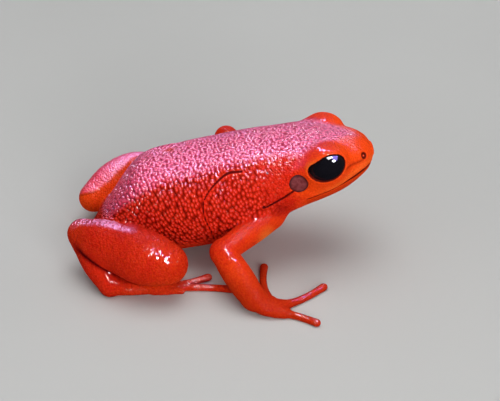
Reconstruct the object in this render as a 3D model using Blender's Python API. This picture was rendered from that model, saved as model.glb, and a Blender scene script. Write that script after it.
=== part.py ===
"""Black-eared mantella, a small frog, as a still life-size model.

Every length is in millimetres while the shapes are made, and the finished
meshes are scaled to metres at the end. The x axis runs forward to the snout,
y to the frog's left and z up. The floor is z 0 and the vent is at x 0, y 0.
"""
import math

import bmesh
import bpy
import numpy as np
from mathutils import Matrix, Vector

# Driving dimensions, millimetres and degrees
METRES_PER_MM = 0.001
CENTRE = (9.8, 0.1)  # the row's origin is on the floor under the box's middle
GAP = 0.28  # between one part and the next
BODY_PITCH = 17.8  # the back climbs toward the head by this angle
VENT_HEIGHT = 1.5
BODY_POWER = 2.25  # 2 would make the cross sections ellipses
NECK = 14.95  # place of the cut behind the ears, along the body
HEAD_STEP = 0.45  # spacing of the head's sections
TORSO_STEP = 0.85
FLOOR_BLOCK = 60.0
FLOOR_SINK = 0.05  # how deep a resting foot is flattened

# Body sections: place along the body, top, bottom and half width
BODY_SECTIONS = (
    (0.0, 0.45, -0.6, 0.6),
    (0.8, 1.15, -1.55, 1.6),
    (2.5, 2.45, -2.5, 2.75),
    (5.0, 4.15, -2.95, 3.75),
    (8.0, 4.1, -3.05, 4.6),
    (11.0, 3.85, -3.15, 4.7),
    (13.5, 3.75, -2.8, 4.1),
    (15.5, 3.5, -2.4, 3.7),
    (17.5, 3.15, -2.15, 3.6),
    (19.3, 2.5, -1.9, 3.05),
    (20.8, 1.8, -1.4, 2.25),
    (21.65, 1.15, -1.0, 1.4),
    (22.0, 0.5, -0.6, 0.65),
)

# The head's features, in the body's own directions
EYE_GAP = 0.2  # the lids lie closer than other parts
EYE_ALONG = 18.85
EYE_SIDE = 2.7
EYE_HEIGHT = 1.22
EYE_RADII = (1.46, 1.28, 1.04)  # along, across and up
LID_RADII = (1.9, 1.62, 1.5)
LID_SHIFT = (-0.1, -0.25, 0.05)  # the lid's bulge sits a little further in
OPENING_RADII = (1.42, 1.1, 0.98)
OPENING_SHIFT = (0.0, 1.25, -0.08)
EARDRUM_ALONG = 16.45
EARDRUM_HEIGHT = 0.85
EARDRUM_RADIUS = 0.72
EARDRUM_THICK = 0.5
EARDRUM_SUNK = 0.1
EAR_RING_RADIUS = 1.05  # middle of the raised ring around the eardrum
EAR_RING_THICK = 0.2
NOSTRIL_ALONG = 21.2
NOSTRIL_HEIGHT = 0.82
NOSTRIL_RADIUS = 0.16
NOSTRIL_RIM = 0.42
MOUTH_CORNER = 16.3
MOUTH_FLAT = 19.4  # the line runs level in front of here
MOUTH_HEIGHT = -0.34
MOUTH_SLOPE = 0.13  # and drops by this much a millimetre behind
MOUTH_DEPTH = 0.3
MOUTH_WIDTH = 0.24
JAW_TUCK = 0.955  # the lower jaw is narrower than the lip above it

# Joints of the limbs
JOINTS = {
    "right": {
        "shoulder": (13.4, -3.0, 4.2),
        "elbow": (9.95, -6.4, 3.33),
        "wrist": (12.15, -8.75, 0.98),
        "knuckles": (13.9, -9.2, 0.35),
        "hip": (1.6, -1.8, 1.9),
        "knee": (6.3, -7.2, 2.65),
        "heel": (-0.6, -3.65, 3.0),
        "ankle": (1.5, -7.3, 0.72),
        "instep": (5.6, -6.88, 0.34),
    },
    "left": {
        "shoulder": (12.8, 3.4, 4.5),
        "elbow": (10.0, 7.6, 5.15),
        "wrist": (11.9, 8.8, 1.05),
        "knuckles": (13.3, 9.4, 0.35),
        "hip": (1.6, 1.8, 1.9),
        "knee": (6.0, 6.9, 2.55),
        "heel": (-0.55, 3.25, 2.5),
        "ankle": (1.5, 6.9, 0.72),
        "instep": (5.5, 7.2, 0.34),
    },
}

# Limb lengths: from joint, to joint, radii on the way and the bow to the side
LIMBS = {
    "upper_arm": ("shoulder", "elbow", (0.95, 0.98, 0.92, 0.86), (0.0, 0.1, 0.05)),
    "forearm": ("elbow", "wrist", (0.86, 1.0, 1.04, 0.94), (-0.05, 0.05, 0.05)),
    "thigh": ("hip", "knee", (1.4, 1.6, 1.55, 1.2), (0.0, 0.0, 0.0)),
    "shank": ("knee", "heel", (1.15, 1.62, 1.66, 1.38, 0.94), (0.0, 0.6, 0.55)),
    "tarsus": ("heel", "ankle", (0.85, 0.68, 0.66, 0.72), (-0.3, 0.1, 0.0)),
}

# Palm and sole: half widths and half heights on the way
PALM_WIDTHS = (0.85, 1.0, 0.85)
PALM_HEIGHTS = (0.85, 0.62, 0.4)
SOLE_WIDTHS = (0.75, 0.78, 0.58)
SOLE_HEIGHTS = (0.76, 0.56, 0.4)

# Digits: where each leaves the knuckles or instep, its tip and its root radius
FINGERS = (
    ((-1.0, -0.9), (-2.0, -3.0), 0.36),
    ((-0.6, -0.9), (-0.75, -4.95), 0.4),
    ((-0.1, -0.25), (3.35, -2.4), 0.42),
    ((-0.1, 0.2), (2.65, 1.45), 0.4),
)
TOES = (
    ((-1.6, -0.3), (-0.5, -1.45), 0.32),
    ((-0.8, -0.3), (1.1, -1.75), 0.34),
    ((-0.3, -0.2), (3.2, -1.5), 0.36),
    ((-0.3, 0.04), (5.05, 0.03), 0.4),
    ((-0.9, 0.1), (1.4, 0.3), 0.32),
)
DIGIT_MIDDLE = 0.28
DIGIT_TIP = 0.3
DIGIT_BOW = 0.05  # each digit arches to the side by this share of its length

# Colours of the parts as red, green and blue on a screen
BACK_RED = (0.80, 0.16, 0.16)
HEAD_ORANGE = (0.86, 0.26, 0.12)
LEG_RED = (0.76, 0.12, 0.07)
ARM_ORANGE = (0.87, 0.24, 0.08)
EYE_BLACK = (0.02, 0.018, 0.02)
EARDRUM_BROWN = (0.27, 0.13, 0.13)

TAN = math.tan(math.radians(BODY_PITCH))
COS = math.cos(math.radians(BODY_PITCH))
SIN = math.sin(math.radians(BODY_PITCH))


def clear_scene():
    """Remove whatever the scene holds."""
    for old in list(bpy.data.objects):
        bpy.data.objects.remove(old, do_unlink=True)


def new_collection(name):
    """Make a collection in the scene."""
    made = bpy.data.collections.new(name)
    bpy.context.scene.collection.children.link(made)
    return made


def to_world(along, across, up):
    """Turn body directions into world ones, as an array of points."""
    along, across, up = np.broadcast_arrays(along, across, up)
    x = along * COS - up * SIN
    z = along * SIN + up * COS + VENT_HEIGHT
    return np.stack([x, across, z], axis=-1)


def smooth_path(points, steps):
    """Run a Catmull-Rom curve through the points, each span in equal steps."""
    p = np.asarray(points, float)
    q = np.vstack([2 * p[0] - p[1], p, 2 * p[-1] - p[-2]])
    t = (np.arange(steps) / steps)[:, None]
    spans = []
    for a, b, c, d in zip(q[:-3], q[1:-2], q[2:-1], q[3:]):
        cubic = (-a + 3 * b - 3 * c + d) * t**3
        square = (2 * a - 5 * b + 4 * c - d) * t**2
        spans.append(0.5 * (2 * b + (c - a) * t + square + cubic))
    return np.vstack(spans + [p[-1:]])


BODY_CURVE = smooth_path(BODY_SECTIONS, 12)


def body_sizes(along):
    """Top, bottom and half width of the body at a place along it."""
    return [np.interp(along, BODY_CURVE[:, 0], BODY_CURVE[:, k]) for k in (1, 2, 3)]


def mouth_height(along):
    """Height of the mouth line at a place along the head."""
    return MOUTH_HEIGHT - MOUTH_SLOPE * np.maximum(0.0, MOUTH_FLAT - along)


def body_side(along, height, grow=0.0):
    """Half width of the body at one height."""
    top, bottom, half = body_sizes(along)
    middle = (top + bottom) / 2
    share = np.abs(height - middle) / ((top - bottom) / 2 + grow)
    return (half + grow) * np.maximum(0.0, 1 - share**BODY_POWER) ** (1 / BODY_POWER)


def body_rings(places, around, grow=0.0, jaw=False):
    """Rings of points round the body, one at each place along it."""
    along = np.asarray(places, float)[:, None]
    top, bottom, half = body_sizes(along)
    angle = np.arange(around) / around * 2 * math.pi
    cos = np.cos(angle)
    sin = np.sin(angle)
    cos = np.sign(cos) * np.abs(cos) ** (2 / BODY_POWER)
    sin = np.sign(sin) * np.abs(sin) ** (2 / BODY_POWER)
    across = (half + grow) * cos
    up = (top + bottom) / 2 + ((top - bottom) / 2 + grow) * sin
    if jaw:
        below = (up < mouth_height(along)) & (along > MOUTH_CORNER)
        across = np.where(below, across * JAW_TUCK, across)
    return to_world(along + 0 * across, across, up)


def loft(name, rings, start=None, end=None):
    """Close a stack of rings into one solid, with a point at each end."""
    count, around = rings.shape[:2]
    start = rings[0].mean(0) if start is None else start
    end = rings[-1].mean(0) if end is None else end
    bm = bmesh.new()
    rows = [[bm.verts.new(p) for p in ring] for ring in rings]
    first = bm.verts.new(start)
    last = bm.verts.new(end)
    for i in range(count - 1):
        for j in range(around):
            k = (j + 1) % around
            bm.faces.new((rows[i][j], rows[i][k], rows[i + 1][k], rows[i + 1][j]))
    for j in range(around):
        k = (j + 1) % around
        bm.faces.new((first, rows[0][k], rows[0][j]))
        bm.faces.new((last, rows[-1][j], rows[-1][k]))
    return finish_mesh(name, bm)


def finish_mesh(name, bm):
    """Turn a bmesh into an object whose faces point outward."""
    bmesh.ops.triangulate(bm, faces=bm.faces[:])
    bmesh.ops.recalc_face_normals(bm, faces=bm.faces[:])
    if bm.calc_volume(signed=True) < 0:
        bmesh.ops.reverse_faces(bm, faces=bm.faces[:])
    mesh = bpy.data.meshes.new(name)
    bm.to_mesh(mesh)
    bm.free()
    made = bpy.data.objects.new(name, mesh)
    CUTTERS.objects.link(made)
    return made


def tube(name, points, widths, heights, around=12, steps=3, caps=3, grow=0.0):
    """Sweep an ellipse along a smooth path and round off both ends."""
    sizes = np.column_stack([points, widths, heights])
    fine = smooth_path(sizes, steps)
    path = fine[:, :3]
    size = fine[:, 3:] + grow
    ahead = np.gradient(path, axis=0)
    ahead /= np.linalg.norm(ahead, axis=1)[:, None]
    side = np.cross((0.0, 0.0, 1.0), ahead)
    side /= np.linalg.norm(side, axis=1)[:, None]
    over = np.cross(ahead, side)
    turn = np.linspace(0, math.pi / 2, caps + 1)[1:-1]
    centres = [path]
    scales = [size]
    sides = [side]
    overs = [over]
    poles = []
    for end, sign in ((0, -1), (-1, 1)):
        reach = size[end].min()
        middle = path[end] + sign * ahead[end] * np.sin(turn)[:, None] * reach
        shrunk = np.cos(turn)[:, None] * size[end]
        poles.append(path[end] + sign * ahead[end] * reach)
        order = slice(None, None, sign)
        slot = 0 if sign < 0 else len(centres)
        centres.insert(slot, middle[order])
        scales.insert(slot, shrunk[order])
        sides.insert(slot, np.repeat(side[end][None], len(turn), 0))
        overs.insert(slot, np.repeat(over[end][None], len(turn), 0))
    centre = np.vstack(centres)[:, None]
    scale = np.vstack(scales)
    angle = np.arange(around) / around * 2 * math.pi
    right = np.vstack(sides)[:, None] * (scale[:, :1] * np.cos(angle))[..., None]
    raised = np.vstack(overs)[:, None] * (scale[:, 1:] * np.sin(angle))[..., None]
    return loft(name, centre + right + raised, poles[0], poles[1])


def ball(name, centre, radii, turn=Matrix.Identity(3), segments=20):
    """Make an ellipsoid with its own three directions."""
    bm = bmesh.new()
    bmesh.ops.create_uvsphere(
        bm, u_segments=segments, v_segments=segments // 2, radius=1.0
    )
    bmesh.ops.scale(bm, vec=Vector(radii), verts=bm.verts)
    bmesh.ops.rotate(bm, cent=(0, 0, 0), matrix=turn, verts=bm.verts)
    bmesh.ops.translate(bm, vec=Vector(centre), verts=bm.verts)
    return finish_mesh(name, bm)


def disc(name, centre, facing, radius, thick, segments=20):
    """Make a short round bar centred on a point and facing a direction."""
    bm = bmesh.new()
    bmesh.ops.create_cone(
        bm, cap_ends=True, segments=segments, radius1=radius, radius2=radius, depth=thick
    )
    turn = Vector(facing).to_track_quat("Z", "Y").to_matrix()
    bmesh.ops.rotate(bm, cent=(0, 0, 0), matrix=turn, verts=bm.verts)
    bmesh.ops.translate(bm, vec=Vector(centre), verts=bm.verts)
    return finish_mesh(name, bm)


def ring(name, centre, facing, radius, thick):
    """Make a torus centred on a point and facing a direction."""
    bpy.ops.mesh.primitive_torus_add(
        major_radius=radius, minor_radius=thick, major_segments=20, minor_segments=6
    )
    made = bpy.context.object
    made.name = name
    turn = Vector(facing).to_track_quat("Z", "Y").to_matrix().to_4x4()
    made.data.transform(Matrix.Translation(Vector(centre)) @ turn)
    for home in list(made.users_collection):
        home.objects.unlink(made)
    CUTTERS.objects.link(made)
    return made


def block(name, centre, sizes):
    """Make a box centred on a point."""
    bm = bmesh.new()
    bmesh.ops.create_cube(bm, size=1.0)
    bmesh.ops.scale(bm, vec=Vector(sizes), verts=bm.verts)
    bmesh.ops.translate(bm, vec=Vector(centre), verts=bm.verts)
    return finish_mesh(name, bm)


def boolean(target, tools, operation):
    """Join the tools to the target or cut them out of it, and apply that."""
    if not tools:
        return target
    group = bpy.data.collections.new("tools")
    for tool in tools:
        group.objects.link(tool)
    change = target.modifiers.new("change", "BOOLEAN")
    change.operation = operation
    change.operand_type = "COLLECTION"
    change.collection = group
    for solver in ("EXACT", "MANIFOLD"):
        change.solver = solver
        graph = bpy.context.evaluated_depsgraph_get()
        result = bpy.data.meshes.new_from_object(target.evaluated_get(graph))
        if result.polygons:
            break
    target.modifiers.clear()
    target.data = result
    bpy.data.collections.remove(group)
    return target


def drop(*objects):
    """Remove objects that are no longer needed."""
    for old in objects:
        bpy.data.objects.remove(old, do_unlink=True)


def keep_largest(target):
    """Keep only the largest closed surface of a solid."""
    bm = bmesh.new()
    bm.from_mesh(target.data)
    bm.verts.ensure_lookup_table()
    unseen = set(bm.verts)
    shells = []
    while unseen:
        shell = [unseen.pop()]
        for vert in shell:
            for edge in vert.link_edges:
                other = edge.other_vert(vert)
                if other in unseen:
                    unseen.remove(other)
                    shell.append(other)
        shells.append(shell)
    shells.sort(key=len)
    extra = [vert for shell in shells[:-1] for vert in shell]
    bmesh.ops.delete(bm, geom=extra, context="VERTS")
    bmesh.ops.dissolve_degenerate(bm, dist=0.00001, edges=bm.edges[:])
    bmesh.ops.triangulate(bm, faces=bm.faces[:])
    bm.to_mesh(target.data)
    bm.free()


def srgb(colour):
    """Turn a screen colour into the linear one a shader takes."""
    linear = [c / 12.92 if c <= 0.04045 else ((c + 0.055) / 1.055) ** 2.4 for c in colour]
    return (*linear, 1.0)


def material(name, colour, roughness):
    """Make a plain surface of one colour."""
    made = bpy.data.materials.new(name)
    made.use_nodes = True
    shader = made.node_tree.nodes["Principled BSDF"]
    shader.inputs["Base Color"].default_value = srgb(colour)
    shader.inputs["Roughness"].default_value = roughness
    shader.inputs["Metallic"].default_value = 0.0
    return made


def limb_tools(side, name, grow=0.0):
    """Sweep one length of a limb between its two joints."""
    first, second, radii, bow = LIMBS[name]
    outward = -1 if side == "right" else 1
    a = np.array(JOINTS[side][first])
    b = np.array(JOINTS[side][second])
    t = np.linspace(0, 1, len(radii))[:, None]
    bend = np.array((bow[0], bow[1] * outward, bow[2]))
    points = a + (b - a) * t + bend * np.sin(t * math.pi)
    return tube(f"{name}_{side}_shape", points, radii, radii, grow=grow)


def digit(side, root, tip, root_radius, order):
    """Sweep one finger or toe along the floor, a little arched."""
    a = np.array(root)
    b = np.array(tip)
    run = b - a
    across = np.array((-run[1], run[0])) * DIGIT_BOW * (1 if order % 2 else -1)
    t = np.linspace(0, 1, 4)[:, None]
    flat = a + run * t + across * np.sin(t * math.pi)
    radii = np.array((root_radius, DIGIT_MIDDLE + 0.02, DIGIT_MIDDLE, DIGIT_TIP))
    heights = radii * np.array((1.0, 1.0, 1.0, 0.9))
    points = np.column_stack([flat, heights - FLOOR_SINK])
    name = f"digit_{side}_{order}"
    return tube(name, points, radii, heights, around=8, steps=2, caps=2)


def paw(side, first, second, widths, heights, digits, name):
    """Make a palm or a sole with its digits as one solid."""
    outward = -1 if side == "right" else 1
    a = np.array(JOINTS[side][first])
    b = np.array(JOINTS[side][second])
    t = np.linspace(0, 1, len(widths))[:, None]
    points = a + (b - a) * t
    points[:, 2] = np.array(heights) - FLOOR_SINK
    points[0, 2] = a[2]
    made = tube(name, points, widths, heights)
    tools = []
    for order, (root, tip, radius) in enumerate(digits):
        start = (b[0] + root[0], b[1] + root[1] * outward)
        stop = (b[0] + tip[0], b[1] + tip[1] * outward)
        tools.append(digit(side, start, stop, radius, order))
    boolean(made, tools, "UNION")
    drop(*tools)
    return made


def head_frame(along, side, height):
    """Point beside the head, outward direction and turn of its features."""
    point = Vector(to_world(along, side, height).tolist())
    turn = Matrix.Rotation(-math.radians(BODY_PITCH), 3, "Y")
    return point, turn


def surface_frame(along, height, outward):
    """Point on the body's surface and the direction it faces."""
    step = 0.05
    here = to_world(along, outward * body_side(along, height), height)
    ahead = to_world(along + step, outward * body_side(along + step, height), height)
    above = to_world(along, outward * body_side(along, height + step), height + step)
    facing = np.cross(ahead - here, above - here) * -outward
    return Vector(here.tolist()), Vector(facing.tolist()).normalized()


def mouth_groove():
    """Wedge that runs round the snout along the mouth line."""
    front = 22.0
    for _ in range(60):
        if body_side(front, mouth_height(front)) > 0.02:
            break
        front -= 0.01
    turn = np.linspace(0, math.pi / 2, 13)
    along = MOUTH_CORNER + (front - MOUTH_CORNER) * np.sin(turn)
    across = body_side(along, mouth_height(along))
    plan = np.column_stack([along, -across])
    plan[-1, 1] = 0.0
    plan = np.vstack([plan, (plan[:-1] * (1, -1))[::-1]])
    ahead = np.gradient(plan, axis=0)
    ahead /= np.linalg.norm(ahead, axis=1)[:, None]
    outside = np.column_stack([ahead[:, 1], -ahead[:, 0]])
    deep = np.full(len(plan), MOUTH_DEPTH)
    deep[[0, 1, -2, -1]] = (0.08, 0.2, 0.2, 0.08)
    inner = plan - outside * deep[:, None]
    outer = plan + outside * 0.5
    level = mouth_height(plan[:, 0])
    low = to_world(outer[:, 0], outer[:, 1], level - MOUTH_WIDTH)
    high = to_world(outer[:, 0], outer[:, 1], level + MOUTH_WIDTH)
    tip = to_world(inner[:, 0], inner[:, 1], level)
    return loft("mouth_groove", np.stack([tip, low, high], axis=1))


def head_solid():
    """Head with lids, eye sockets, nostrils, mouth line and ear pockets."""
    places = np.arange(NECK + GAP / 2, BODY_SECTIONS[-1][0], HEAD_STEP)
    places = np.append(places, (21.8, BODY_SECTIONS[-1][0]))
    places = np.unique(np.round(places, 3))
    rings = body_rings(places, 32, jaw=True)
    nose = to_world(BODY_SECTIONS[-1][0] + 0.1, 0.0, 0.0)
    head = loft("head", rings, end=nose)
    raised = []
    sunk = []
    for outward in (-1, 1):
        eye, turn = head_frame(EYE_ALONG, outward * EYE_SIDE, EYE_HEIGHT)
        lid_at = to_world(
            EYE_ALONG + LID_SHIFT[0],
            outward * (EYE_SIDE + LID_SHIFT[1]),
            EYE_HEIGHT + LID_SHIFT[2],
        )
        open_at = to_world(
            EYE_ALONG + OPENING_SHIFT[0],
            outward * (EYE_SIDE + OPENING_SHIFT[1]),
            EYE_HEIGHT + OPENING_SHIFT[2],
        )
        raised.append(ball("lid", lid_at, LID_RADII, turn, 18))
        socket = [r + EYE_GAP for r in EYE_RADII]
        sunk.append(ball("socket", eye, socket, turn, 16))
        sunk.append(ball("opening", open_at, OPENING_RADII, turn, 16))
        ear, facing = surface_frame(EARDRUM_ALONG, EARDRUM_HEIGHT, outward)
        raised.append(ring("ear_ring", ear, facing, EAR_RING_RADIUS, EAR_RING_THICK))
        pocket = 2 * (EARDRUM_SUNK + EARDRUM_THICK + GAP)
        sunk.append(disc("pocket", ear, facing, EARDRUM_RADIUS + GAP, pocket))
        nose, facing = surface_frame(NOSTRIL_ALONG, NOSTRIL_HEIGHT, outward)
        raised.append(ball("nostril_rim", nose - facing * 0.27, (NOSTRIL_RIM,) * 3, turn, 10))
        sunk.append(ball("nostril", nose + facing * 0.08, (NOSTRIL_RADIUS,) * 3, turn, 8))
    boolean(head, raised, "UNION")
    sunk.append(mouth_groove())
    boolean(head, sunk, "DIFFERENCE")
    drop(*raised, *sunk)
    return head


def eyes_and_eardrums():
    """Eyeballs and eardrums of both sides."""
    made = []
    for side, outward in (("right", -1), ("left", 1)):
        eye, turn = head_frame(EYE_ALONG, outward * EYE_SIDE, EYE_HEIGHT)
        made.append(ball(f"eye_{side}", eye, EYE_RADII, turn, 18))
        ear, facing = surface_frame(EARDRUM_ALONG, EARDRUM_HEIGHT, outward)
        middle = ear - facing * (EARDRUM_SUNK + EARDRUM_THICK / 2)
        made.append(disc(f"eardrum_{side}", middle, facing, EARDRUM_RADIUS, EARDRUM_THICK))
    return made


def torso_solid():
    """Body from the vent to the neck."""
    count = int((NECK - GAP / 2) / TORSO_STEP) + 1
    places = np.linspace(0.0, NECK - GAP / 2, count)
    places = np.unique(np.append(places, 0.4))
    rings = body_rings(places, 28)
    return loft("torso", rings, start=to_world(-0.15, 0.0, -0.05))


def grown_body():
    """The body made thicker by the gap, as a tool that clears the limbs."""
    places = np.linspace(0.0, 18.0, 20)
    return loft("grown_body", body_rings(places, 28, grow=GAP), start=to_world(-0.4, 0.0, -0.05))


def limb_solids(side):
    """All the parts of one arm and one leg, each clear of the one it grows from."""
    made = {name: limb_tools(side, name) for name in LIMBS}
    made["hand"] = paw(
        side, "wrist", "knuckles", PALM_WIDTHS, PALM_HEIGHTS, FINGERS, f"hand_{side}"
    )
    made["foot"] = paw(
        side, "ankle", "instep", SOLE_WIDTHS, SOLE_HEIGHTS, TOES, f"foot_{side}"
    )
    body = grown_body()
    grown = {name: limb_tools(side, name, grow=GAP) for name in LIMBS}
    clear_of = {
        "upper_arm": [body],
        "forearm": [grown["upper_arm"]],
        "hand": [grown["forearm"]],
        "thigh": [body, grown["shank"]],
        "shank": [body],
        "tarsus": [grown["shank"]],
        "foot": [grown["tarsus"]],
    }
    for name, tools in clear_of.items():
        boolean(made[name], tools, "DIFFERENCE")
        made[name].name = f"{name}_{side}"
    drop(body, *grown.values())
    return made


def place(target, origin, parent, colour, roughness):
    """Scale a finished solid to metres, set its origin, parent and material."""
    keep_largest(target)
    at = Vector(origin)
    target.data.transform(Matrix.Scale(METRES_PER_MM, 4) @ Matrix.Translation(-at))
    target.location = at * METRES_PER_MM
    target.parent = parent
    target.data.name = target.name
    target.data.materials.clear()
    target.data.materials.append(material(f"{target.name}_surface", colour, roughness))
    for polygon in target.data.polygons:
        polygon.use_smooth = True
    CUTTERS.objects.unlink(target)
    PARTS.objects.link(target)


clear_scene()
PARTS = new_collection("black_eared_mantella")
CUTTERS = new_collection("cutters")
CUTTERS.hide_render = True

# Solids of the whole frog
head = head_solid()
torso = torso_solid()
details = eyes_and_eardrums()
limbs = {side: limb_solids(side) for side in JOINTS}

# Everything that rests on the floor is flattened at one level
floor = block("floor_block", (10.0, 0.0, -FLOOR_BLOCK / 2), (FLOOR_BLOCK,) * 3)
boolean(torso, [floor], "DIFFERENCE")
for side in limbs:
    for name in ("hand", "foot", "tarsus"):
        boolean(limbs[side][name], [floor], "DIFFERENCE")
floor.display_type = "WIRE"

# Parents, origins and materials
base = bpy.data.objects.new("mantella", None)
base.location = (-CENTRE[0] * METRES_PER_MM, -CENTRE[1] * METRES_PER_MM, 0.0)
PARTS.objects.link(base)
place(torso, (0.0, 0.0, VENT_HEIGHT), base, BACK_RED, 0.35)
place(head, to_world(NECK, 0.0, 0.0).tolist(), base, HEAD_ORANGE, 0.35)
for item in details:
    dark = EYE_BLACK if item.name.startswith("eye_") else EARDRUM_BROWN
    middle = sum((v.co for v in item.data.vertices), Vector()) / len(item.data.vertices)
    place(item, middle, base, dark, 0.05 if item.name.startswith("eye_") else 0.4)
for side, parts in limbs.items():
    for name, item in parts.items():
        joint = {"hand": "wrist", "foot": "ankle"}.get(name) or LIMBS[name][0]
        colour = ARM_ORANGE if name in ("upper_arm", "forearm", "hand") else LEG_RED
        place(item, JOINTS[side][joint], base, colour, 0.3)
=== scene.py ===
"""The looks of the black-eared mantella, a small frog, as a still life-size model.

The shapes are worked out in millimetres in the frog's own frame: x runs forward
to the snout, y to the frog's left and z up, with the floor at z 0 and the vent
at x 0. Body directions are along, across and up, turned by the back's slope.
"""

import math

import bpy
import numpy as np
from bpy.props import FloatProperty, FloatVectorProperty, PointerProperty
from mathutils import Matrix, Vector


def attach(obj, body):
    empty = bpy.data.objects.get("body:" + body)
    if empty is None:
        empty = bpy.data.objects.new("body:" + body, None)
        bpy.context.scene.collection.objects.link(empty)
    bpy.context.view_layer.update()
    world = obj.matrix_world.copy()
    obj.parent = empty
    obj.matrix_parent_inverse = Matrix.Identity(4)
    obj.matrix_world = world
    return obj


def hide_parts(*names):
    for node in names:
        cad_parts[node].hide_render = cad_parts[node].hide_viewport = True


bl_info = {
    "name": "Black-eared mantella",
    "version": (1, 0, 0),
    "blender": (4, 5, 0),
    "location": "3D View > Sidebar > Mantella",
    "description": "Skin, eyes and eardrums of a life-size mantella, and its stage",
    "category": "Add Mesh",
}

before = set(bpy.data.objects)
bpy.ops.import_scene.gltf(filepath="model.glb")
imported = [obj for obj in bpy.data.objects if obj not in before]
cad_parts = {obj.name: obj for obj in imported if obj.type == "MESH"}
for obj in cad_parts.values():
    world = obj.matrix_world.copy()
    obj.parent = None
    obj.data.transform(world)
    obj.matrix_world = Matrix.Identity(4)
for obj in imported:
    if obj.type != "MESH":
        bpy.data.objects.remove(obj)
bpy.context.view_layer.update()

# Frame and pose, millimetres and degrees
MM = 0.001
CENTRE = (9.8, 0.1)  # the row's origin in the frog's own x and y
BODY_PITCH = math.radians(17.8)
VENT_HEIGHT = 1.5
FAR = 9.0  # what a shape's distance reads away from it
SIDES = (-1, 1)  # right and left

# Body sections: place along the body, top, bottom and half width
BODY_SECTIONS = (
    (0.0, 0.45, -0.6, 0.6),
    (0.8, 1.15, -1.55, 1.6),
    (2.5, 2.45, -2.5, 2.75),
    (5.0, 4.15, -2.95, 3.75),
    (8.0, 4.1, -3.05, 4.6),
    (11.0, 3.85, -3.15, 4.7),
    (13.5, 3.75, -2.8, 4.1),
    (15.5, 3.5, -2.4, 3.7),
    (17.5, 3.15, -2.15, 3.6),
    (19.3, 2.5, -1.9, 3.05),
    (20.8, 1.8, -1.36, 2.25),
    (21.6, 1.2, -0.84, 1.42),
    (21.95, 0.6, -0.32, 0.68),
)
BODY_POWER = 2.25
BODY_END = 0.16  # how far the round ends reach past the first and last section
JAW_NARROWING = 0.035  # share that the jaw is narrower under the line of the mouth

# The head's features, in body directions
EYE_AT = (18.65, 2.6, 1.1)
EYE_RADII = (1.56, 1.42, 1.36)
LID_AT = (18.5, 2.52, 1.12)
LID_RADII = (1.78, 1.66, 1.52)
OPENING_AT = (0.08, 0.42)  # middle of the eye's opening from the ball's middle
OPENING_RADII = (1.32, 0.82)
OPENING_TILT = math.radians(-4.0)
OPENING_LINE = (-0.5, 1.07)  # a point on the straight upper lid behind
OPENING_SLOPE = math.radians(18.0)
PUPIL_AT = (0.1, 0.35)  # middle of the pupil from the ball's middle
PUPIL_RADII = (1.5, 1.15)
EAR_AT = (16.45, 0.85)
EAR_RADIUS = 0.74
EAR_DEPTH = 0.08
NOSTRIL_AT = (21.4, 0.58)
MOUTH_CORNER = 16.1
MOUTH_LINE = (
    (15.0, -0.8), (16.1, -0.77), (17.4, -0.72), (18.6, -0.65), (19.8, -0.53), (21.0, -0.42),
    (21.5, -0.5), (22.0, -0.66),
)

# The fine crease that rounds the flank behind the arm
FLANK_CREASE = (
    (12.8, 2.85), (11.7, 3.0), (10.45, 2.6), (9.6, 1.9), (9.35, 0.8), (9.4, -0.4), (9.3, -1.4),
)

# The fold from the eardrum down to the shoulder, and the stripe to the nostril
EAR_FOLD = ((15.95, 0.4), (15.2, 0.15), (14.4, 0.0), (13.7, -0.1))
EYE_STRIPE = ((21.25, 0.42), (20.8, 0.5), (20.35, 0.68), (20.1, 0.82))

# Stretches along the body over which a share goes from 0 to 1
NECK = (12.6, 15.2)
FACE = (14.8, 17.0)
HEAD = (16.0, 18.2)
LIDS_FRONT = (17.3, 18.4)
CROWN = (19.2, 21.2)
RUMP_END = (3.5, 6.5)

# Where the colours change: along, and up, or across for the brow
# Over the line of the back the skin gets the painted rosy sheen
BACK_LINE = (
    (2.0, 1.6), (3.3, 2.4), (5.2, 3.3), (7.0, 3.7), (11.0, 3.5), (14.7, 3.2), (16.5, 2.8),
    (17.5, 2.5), (19.3, 2.3), (21.0, 1.5),
)
CHEEK_LINE = ((15.0, 0.8), (17.0, 1.3), (19.0, 1.1), (22.0, 0.7))
BROW_LINE = (
    (14.5, 4.2), (16.0, 3.65), (17.0, 3.0), (17.6, 2.7), (18.3, 2.4), (18.8, 1.85), (19.2, 1.3),
    (19.8, 1.0), (20.5, 0.7), (21.3, 0.2), (22.0, 0.0),
)

# The painted rosy sheen on the near shank's top ends on a line of x and y, and
# that on the far calf at a share of its radius, by x
SHANK_BORDER = ((-0.5, -4.2), (0.4, -4.8), (1.55, -5.4), (2.67, -5.9), (3.6, -6.4))
CALF_BORDER = ((-1.5, 0.5), (0.0, 0.3), (1.0, 0.3), (3.0, 0.75))
CALF_UP = (-0.335, 0.484, 0.806)  # up and out from the calf, on the left

# Orange patch on the back and painted shade on the throat: place in body directions, and radius
BACK_PATCH = (7.5, 0.9, 0.55)
THROAT_SHADE = (14.6, -0.8, 0.75)
INNER_ARM = (0.75, 0.0, -0.35)  # the arm's pale inside, from its middle line

# Fine forms of the trunk: depth, below 0 where raised, the distance from the
# form's line at which it lies, and the width of its bell curve
HIP_RIDGE = ((2.6, 1.9), (5.0, 2.4), (7.4, 2.1))
FORMS = {
    "lid_rim": (-0.05, 0.14, 0.12),
    "mouth": (0.13, 0.0, 0.11),
    "upper_lip": (-0.05, 0.3, 0.2),
    "lower_lip": (-0.03, -0.27, 0.16),
    "nostril": (0.12, 0.17, 0.1),
    "nostril_rim": (-0.03, 0.38, 0.1),
    "flank_crease": (0.05, 0.0, 0.1),
    "ear_fold": (0.09, 0.0, 0.16),
    "hip_ridge": (-0.12, 0.0, 0.5),
}

# Small dark flecks: place in body directions, and radius
SPECKS = (
    ((13.56, -4.06, 0.0), 0.16), ((14.53, -3.36, 2.27), 0.12), ((8.59, 0.0, 3.95), 0.15),
)

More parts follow.
